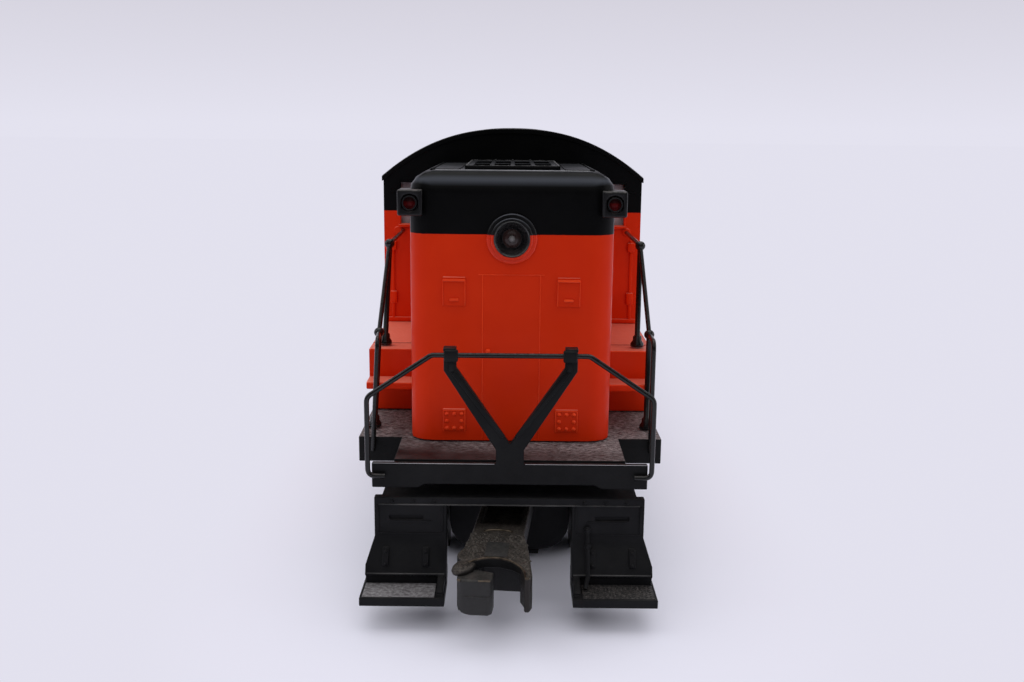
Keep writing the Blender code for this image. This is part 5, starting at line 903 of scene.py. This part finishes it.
def pilots():
    """Raised edges, bolts, riveted ribs, treads and an air hose on each pilot, and painted
    highlight lines along its apron and top bar.
    """
    run = apron_place(1.0) - apron_place(0.0)
    lean = Matrix.Rotation(math.atan2(-run.y, -run.x), 4, "X")
    edge_y, edge_z = apron_place(1.0)
    face, slot = PILOT_FACE, "frame_black"
    hose = [(15.2, -155.5, 18.2), (15.2, -156.0, 17.2), (15.3, -159.2, 9.6), (14.9, -160.0, 8.3)]
    hose.append((14.7, -160.6, 7.6))
    collar = [(0.0, 0.45), (0.6, 0.4), (0.68, 0.0), (0.6, -0.4), (0.0, -0.45)]
    for end, facing in ENDS:
        body = f"{end}_truck"
        parts, edges = [], []
        for side, sign in reversed(SIDES):
            parts.append(upright(sign * 25.6, 16.9, 22.2, face, 0.5, 0.3, 0.12))
            parts.append(level(sign * 13.3, sign * 25.6, 16.5, face, 0.3, 0.16))
            parts.append(level(sign * 15.2, sign * 22.7, 19.0, face, 0.35, 0.22, 0.1))
            parts.append(upright(sign * 13.0, 16.9, 22.0, face, 0.4, 0.22, 0.1))
            bolts = [(sign * x, face, 23.0) for x in (14.6, 18.7, 22.8)]
            parts.append(rivets(bolts, 0.42, FORWARD, 0.8))
            rows = [apron_place(share, 0.55) for share in (0.42, 0.76)]
            heads = [(sign * x, y, z) for x in (16.15, 23.95) for y, z in rows]
            parts.append(rivets(heads, 0.36, lean, 0.9))
            ends = span(sign, 12.5, 27.6)
            # A painted highlight line along the foot of the apron
            edges.append(wire([(x, edge_y + 0.1, edge_z - 0.1) for x in ends], 0.34))
            low, high = span(sign, 14.1, 27.8)
            corner = (high, -157.4, FOOTBOARD_TOP + 0.12)
            tread = [block((low, -163.6, FOOTBOARD_TOP - 0.2), corner, 0.08)]
            look = "dusty_tread"
            if side == "left":
                tread.append(rivets(tread_dots(low), 0.24, UPWARD, 0.6, 6))
                look = "dimpled_tread"
            add(f"{end}_{side}_tread", look, slot, *tread, facing=facing, body=body)
        # A painted highlight line along the top bar
        edges.append(wire([(x, face - 0.02, 22.35) for x in (-25.4, 25.4)], 0.3))
        parts.append(wire(bent(hose, 1.2), 0.85, 3))
        for spot in ((15.2, -155.7, 17.6), (15.25, -156.9, 14.9)):
            parts.append(lathe(collar, at(*spot), 14))
        add(f"{end}_pilot_details", "pilot_black", slot, *parts, facing=facing, body=body)
        add(f"{end}_pilot_edges", "edge_highlight", slot, *edges, facing=facing, body=body)


def head_height(lead):
    """The height of the coupler head's falling top at a distance from the pivot."""
    start, top = HEAD_START
    return top - HEAD_SLOPE * max(0.0, lead - start)


def coupler_pebbles():
    """Small knobs scattered over the coupler's head, clear of its throat, inset and boss."""
    centre, throat_lead, radius = THROAT
    head_lead = HEAD_START[0]
    rng = random.Random(PEBBLE_SEED)
    pebbles = []
    while len(pebbles) < PEBBLE_COUNT:
        x, lead = rng.uniform(-6.2, 7.2), rng.uniform(23.2, 37.0)
        flank = 5.3 + 0.22 * max(0.0, lead - head_lead)
        inside = -5.2 - 0.12 * (lead - head_lead) < x < min(flank, 7.0)
        clear = math.hypot(x - centre, lead - throat_lead) > radius + 0.45
        bare = -1.9 < x < 2.8 and 26.4 < lead < 31.8
        boss = lead > 31.6 and x < centre
        if inside and clear and not bare and not boss:
            size = rng.uniform(0.2, 0.42)
            profile = [(0.0, size * 0.5), (size * 0.6, size * 0.38), (size, -0.1)]
            spot = at(x, -lead, head_height(lead))
            pebbles.append(lathe(profile, spot @ Matrix.Rotation(rng.uniform(0, 3), 4, "Z"), 6))
    return pebbles


def couplers():
    """Worn edges, the bare inset, the pebbled skin and the pin boss of each coupler."""
    centre, throat_lead, radius = THROAT
    start, top = HEAD_START
    arch = []
    for i in range(25):
        angle = math.radians(40 + 136 * i / 24)
        lead = throat_lead - radius * math.sin(angle)
        x = centre - radius * math.cos(angle) * 1.01
        arch.append((x, -lead + 0.06, head_height(lead) - 0.06))
    tip = [(6.5, -37.9, 15.22), (7.2, -37.9, 15.2)]
    angles = [math.radians(-80 + 10 * i) for i in range(17)]
    lip = [(2.7 * math.sin(t), -22.6 + math.cos(t), 17.62) for t in angles]
    fall = at(0, -start, top) @ Matrix.Rotation(math.atan(HEAD_SLOPE), 4, "X")
    pin_x, pin_lead = KNUCKLE_PIN
    middle = at(pin_x - 0.65, -pin_lead - 2.9, head_height(pin_lead) - 1.05)
    middle = middle @ Matrix.Rotation(math.radians(-24), 4, "Z")
    stretch = Matrix.Diagonal((0.92, 1.5, 1.0, 1.0))
    dome = [(0.0, 0.75), (0.8, 0.7), (1.45, 0.48), (1.9, 0.05), (2.05, -0.45), (1.9, -0.9)]
    dome.append((0.0, -0.95))
    parting = [(-4.6, -38.22, 11.3), (-0.4, -38.22, 11.3), (0.36, -37.8, 11.3)]
    inner_edge = [(-2.0, -38.05, 14.35), (0.2, -37.95, 14.35)]
    outer_edge = [(-5.75, -37.5, 14.2), (-5.2, -37.95, 14.25)]
    casting, smooth, bronze = "coupler_casting", "knuckle_casting", "worn_bronze"
    for end, facing in ENDS:
        seat = facing @ at(0, COUPLER_PIVOT, 0)
        seat = seat @ Matrix.Rotation(COUPLER_REST, 4, "Z")
        name, body, jaw = f"{end}_coupler", f"{end}_coupler_arm", f"{end}_coupler_jaw"
        bright = [wire(arch, 0.42), wire(tip, 0.42)]
        add(f"{name}_worn_edge", bronze, casting, *bright, facing=seat, body=body)
        add(f"{name}_neck_lip", bronze, casting, wire(lip, 0.6), facing=seat, body=body)
        inset = block((-1.7, -7.5, -0.3), (2.6, -2.6, 0.10))
        add(f"{name}_inset", smooth, casting, inset, facing=seat @ fall, body=body)
        pebbles = coupler_pebbles()
        add(f"{name}_pebbles", casting, casting, *pebbles, facing=seat, sharp=80, body=body)
        lobe = lathe(dome, seat @ middle @ stretch, 28)
        add(f"{name}_boss", casting, casting, lobe, body=body)
        seam = wire(bent(parting, 0.4), 0.22)
        add(f"{end}_knuckle_seam", smooth, casting, seam, facing=seat, body=jaw)
        worn = [wire(inner_edge, 0.3), wire(outer_edge, 0.5)]
        add(f"{end}_knuckle_worn_edge", bronze, casting, *worn, facing=seat, body=jaw)


def hood_sides():
    """Hinges, latches and louvres on the long hood's doors, and the strip along its foot."""
    pin = [(0.0, 1.15), (0.42, 1.05), (0.5, 0.9), (0.5, -0.9), (0.42, -1.05), (0.0, -1.15)]
    handle = [(0.0, 0.5), (0.5, 0.45), (0.62, 0.2), (0.62, -0.2), (0.0, -0.2)]
    wall = HOOD_HALF + HOOD_SWELL
    louvre_foot, louvre_pitch = 60.4, 1.7
    for side, sign in SIDES:
        x = sign * (wall + 0.35)
        low, high = span(sign, wall - 0.3, wall + 0.25)
        parts = [block((low, -44.8, 32.0), (high, 139.0, 33.0), 0.12)]
        for i in range(DOOR_COUNT):
            y = DOOR_START + i * DOOR_PITCH
            for z in (42.0, 66.6):
                parts.append(lathe(pin, at(x, y - 0.1, z), 12))
            low, high = span(sign, wall + 0.2, wall + 1.0)
            parts.append(block((low, y + 14.6, 53.4), (high, y + 15.2, 56.6), 0.2))
            parts.append(lathe(handle, at(x, y + 14.9, 56.2) @ sideways(sign), 14))
            low, high = span(sign, wall + 0.1, wall + 0.75)
            for row in range(6):
                z = louvre_foot + louvre_pitch * row
                parts.append(block((low, y + 3.0, z), (high, y + 13.0, z + 0.75), 0.2))
        add(f"{side}_hood_side_details", "shell_paint", "shell_paint", *parts)


def cab_sides():
    """Frames round the side windows, the drip strip over them and the sill below."""
    foot, top, bar = 68.3, 80.8, 0.5
    for side, sign in SIDES:
        low, high = span(sign, CAB_HALF - 0.2, CAB_HALF + 0.3)
        parts = [block((low, -91.0, 82.3), (high, -47.0, 82.8), 0.12)]
        for start, end in ((-82.75, -70.25), (-68.2, -55.75)):
            for y in (start - bar, end):
                parts.append(block((low, y, foot), (high, y + bar, top)))
            for z in (foot, top - bar):
                parts.append(block((low, start - bar, z), (high, end + bar, z + bar)))
        parts.append(block((low, -84.0, 66.6), (high, -54.6, 67.5), 0.2))
        add(f"{side}_cab_side_details", "cab_paint", "shell_paint", *parts)


def tank_fittings():
    """A filler cap and a gauge on each side of the fuel tank."""
    cap = [(0.0, 0.55), (1.5, 0.5), (1.75, 0.3), (1.8, -0.4), (0.0, -0.4)]
    gauge = [(0.0, 0.35), (0.8, 0.3), (0.95, -0.3), (0.0, -0.3)]
    for side, sign in SIDES:
        parts = []
        for profile, y, z, sides in ((cap, 8.0, 22.5, 24), (gauge, 2.0, 20.0, 18)):
            seat = at(sign * TANK_WALL, y, z) @ sideways(sign)
            parts.append(lathe(profile, seat, sides))
        add(f"{side}_tank_fittings", "plastic_gloss", "plastic_black", *parts)


def truck_details():
    """Coil springs and journal bolts on the side frames."""
    spring_x, radius, foot, height, turns, steps = 24.0, 2.0, 8.0, 8.8, 5, 60
    for end, facing in ENDS:
        for side, sign in SIDES:
            parts = []
            for y in (-94.5, -87.5):
                coil = []
                for i in range(steps + 1):
                    angle = 2 * math.pi * i * turns / steps
                    x = sign * spring_x + radius * math.cos(angle)
                    coil.append((x, y + radius * math.sin(angle), foot + height * i / steps))
                parts.append(wire(coil, 0.8, 2))
            for y in JOURNALS:
                corners = [(u, v) for u in (-2.6, 2.6) for v in (-3.1, 3.1)]
                places = [(sign * 26.2, y + u, AXLE_Z + v) for u, v in corners]
                parts.append(rivets(places, 0.38, sideways(sign), 0.9))
            name, body, slot = f"{end}_{side}_springs", f"{end}_truck", "frame_black"
            add(name, "truck_black", slot, *parts, facing=facing, sharp=SMOOTH, body=body)


# Stage, in metres

PALE = (0.775, 0.765, 0.865)
PALE_TOP = (0.668, 0.651, 0.733)
PALE_FLOOR = (0.765, 0.755, 0.855)
SHEET = ((0.81, 0.805, 0.905), (0.83, 0.825, 0.925))
SHEET_END = (-0.80, -0.50)
DARK_FLOOR = (0.04, 0.04, 0.045)
DARK_ROOM = (0.035, 0.035, 0.04)
FILL = (0.95, 0.95, 1.0, 1.0)
FILL_STRENGTH = 0.45
FLOOR_SIZE = 6.0
SHADED_HALF = (0.016, 0.156, 0.0)
SHADE_REACH = 0.055
# Name, place, aim, size and power
LAMPS = (
    ("overhead", (0.0, 0.10, 1.1), (0.0, 0.0, 0.0), (1.5, 1.4), 8.5),
    ("front", (0.0, -1.0, 0.9), (0.0, -0.15, 0.03), (1.2, 0.7), 1.75),
    ("left_side", (-0.85, -0.12, 0.62), (0.0, -0.12, 0.05), (0.7, 0.7), 1.8),
    ("right_side", (1.0, -0.25, 0.45), (0.0, -0.1, 0.05), (0.7, 0.7), 1.7),
)
CAMERA_SPOT = (0.0002, -0.3485, 0.0947)
CAMERA_PITCH = math.radians(78.4)
CAMERA_ROLL = math.radians(0.55)
SENSOR = 36.0
FOCAL_SHARE = 1050 / 1024


def seen_rays(tree, *kinds):
    """One for the kinds of ray that see the pale background."""
    path = add_node(tree, "LightPath").outputs
    total = path["Is Camera Ray"]
    for kind in kinds:
        total = maths(tree, "ADD", total, path[kind])
    return maths(tree, "MINIMUM", total, 1.0)


def mix_shaders(tree, share, first, second):
    inputs = {0: share, 1: first.outputs[0], 2: second.outputs[0]}
    return add_node(tree, "MixShader", inputs).outputs[0]


def build_floor():
    """A sheet that keeps the model's shade, is evenly pale further out, and ends in front."""
    bm = bmesh.new()
    bmesh.ops.create_grid(bm, x_segments=1, y_segments=1, size=FLOOR_SIZE)
    floor = solid(bm)
    floor.name = "floor"
    floor.data.name = "floor"
    made, tree, _ = new_material("floor")
    tree.nodes.clear()
    where = place(tree)
    sheet = blend(tree, noise(tree, where, 60.0), *SHEET)
    sheet = blend(tree, between(tree, axes(tree, where)["Y"], *SHEET_END), DARK_FLOOR, sheet)
    beyond = where
    for operation, amount in (
        ("ABSOLUTE", (0.0, 0.0, 0.0)), ("SUBTRACT", SHADED_HALF), ("MAXIMUM", (0.0, 0.0, 0.0))
    ):
        step = add_node(tree, "VectorMath", {0: beyond, 1: amount}, operation=operation)
        beyond = step.outputs["Vector"]
    reach = add_node(tree, "VectorMath", {0: beyond}, operation="LENGTH")
    far = between(tree, reach.outputs["Value"], 0.0, SHADE_REACH)
    share = times(tree, far, seen_rays(tree, "Is Transmission Ray"))
    diffuse = add_node(tree, "BsdfDiffuse", {"Color": sheet})
    glow = add_node(tree, "Emission", {"Color": (*PALE_FLOOR, 1.0), "Strength": 1.0})
    surface = mix_shaders(tree, share, diffuse, glow)
    add_node(tree, "OutputMaterial", {"Surface": surface})
    floor.data.materials.append(made)
    link(floor)


def build_world():
    """A low pale backdrop behind the model, a dark room round it, and a dim fill."""
    world = bpy.data.worlds.new("studio")
    world.use_nodes = True
    bpy.context.scene.world = world
    tree = world.node_tree
    tree.nodes.clear()
    _, along, height = axes(tree, add_node(tree, "TexCoord").outputs["Generated"])
    backdrop = blend(tree, between(tree, height, 0.0, 0.115), PALE, PALE_TOP)
    lit = times(tree, between(tree, along, -0.35, 0.25), between(tree, height, 0.50, 0.22))
    lit = maths(tree, "MAXIMUM", lit, seen_rays(tree, "Is Transmission Ray"))
    room = blend(tree, lit, DARK_ROOM, backdrop)
    shown = add_node(tree, "Background", {"Color": room, "Strength": 1.0})
    fill = add_node(tree, "Background", {"Color": FILL, "Strength": FILL_STRENGTH})
    seen = seen_rays(tree, "Is Glossy Ray", "Is Transmission Ray")
    surface = mix_shaders(tree, seen, fill, shown)
    add_node(tree, "OutputWorld", {"Surface": surface})


def add_lamp(name, spot, aim, size, power):
    """A soft box at a point, aimed at another."""
    lamp = bpy.data.lights.new(name, "AREA")
    lamp.shape = "RECTANGLE"
    lamp.size, lamp.size_y = size
    lamp.energy = power
    obj = bpy.data.objects.new(name, lamp)
    obj.location = spot
    obj.rotation_euler = (Vector(aim) - Vector(spot)).to_track_quat("-Z", "Y").to_euler()
    link(obj)


def build_camera():
    lens = bpy.data.cameras.new("camera")
    lens.sensor_width = SENSOR
    lens.lens = SENSOR * FOCAL_SHARE
    lens.clip_start = 0.01
    camera = bpy.data.objects.new("camera", lens)
    camera.matrix_world = (
        Matrix.Translation(CAMERA_SPOT)
        @ Matrix.Rotation(CAMERA_PITCH, 4, "X")
        @ Matrix.Rotation(CAMERA_ROLL, 4, "Z")
    )
    link(camera)
    bpy.context.scene.camera = camera


dress_nodes()
rails()
headlights()
hood_faces()
marker_rims()
roof_panels()
cab_ends()
battery_boxes()
end_beams()
pilots()
couplers()
hood_sides()
cab_sides()
tank_fittings()
truck_details()
build_floor()
build_world()
for values in LAMPS:
    add_lamp(*values)
build_camera()
bpy.context.scene.view_settings.view_transform = "Standard"
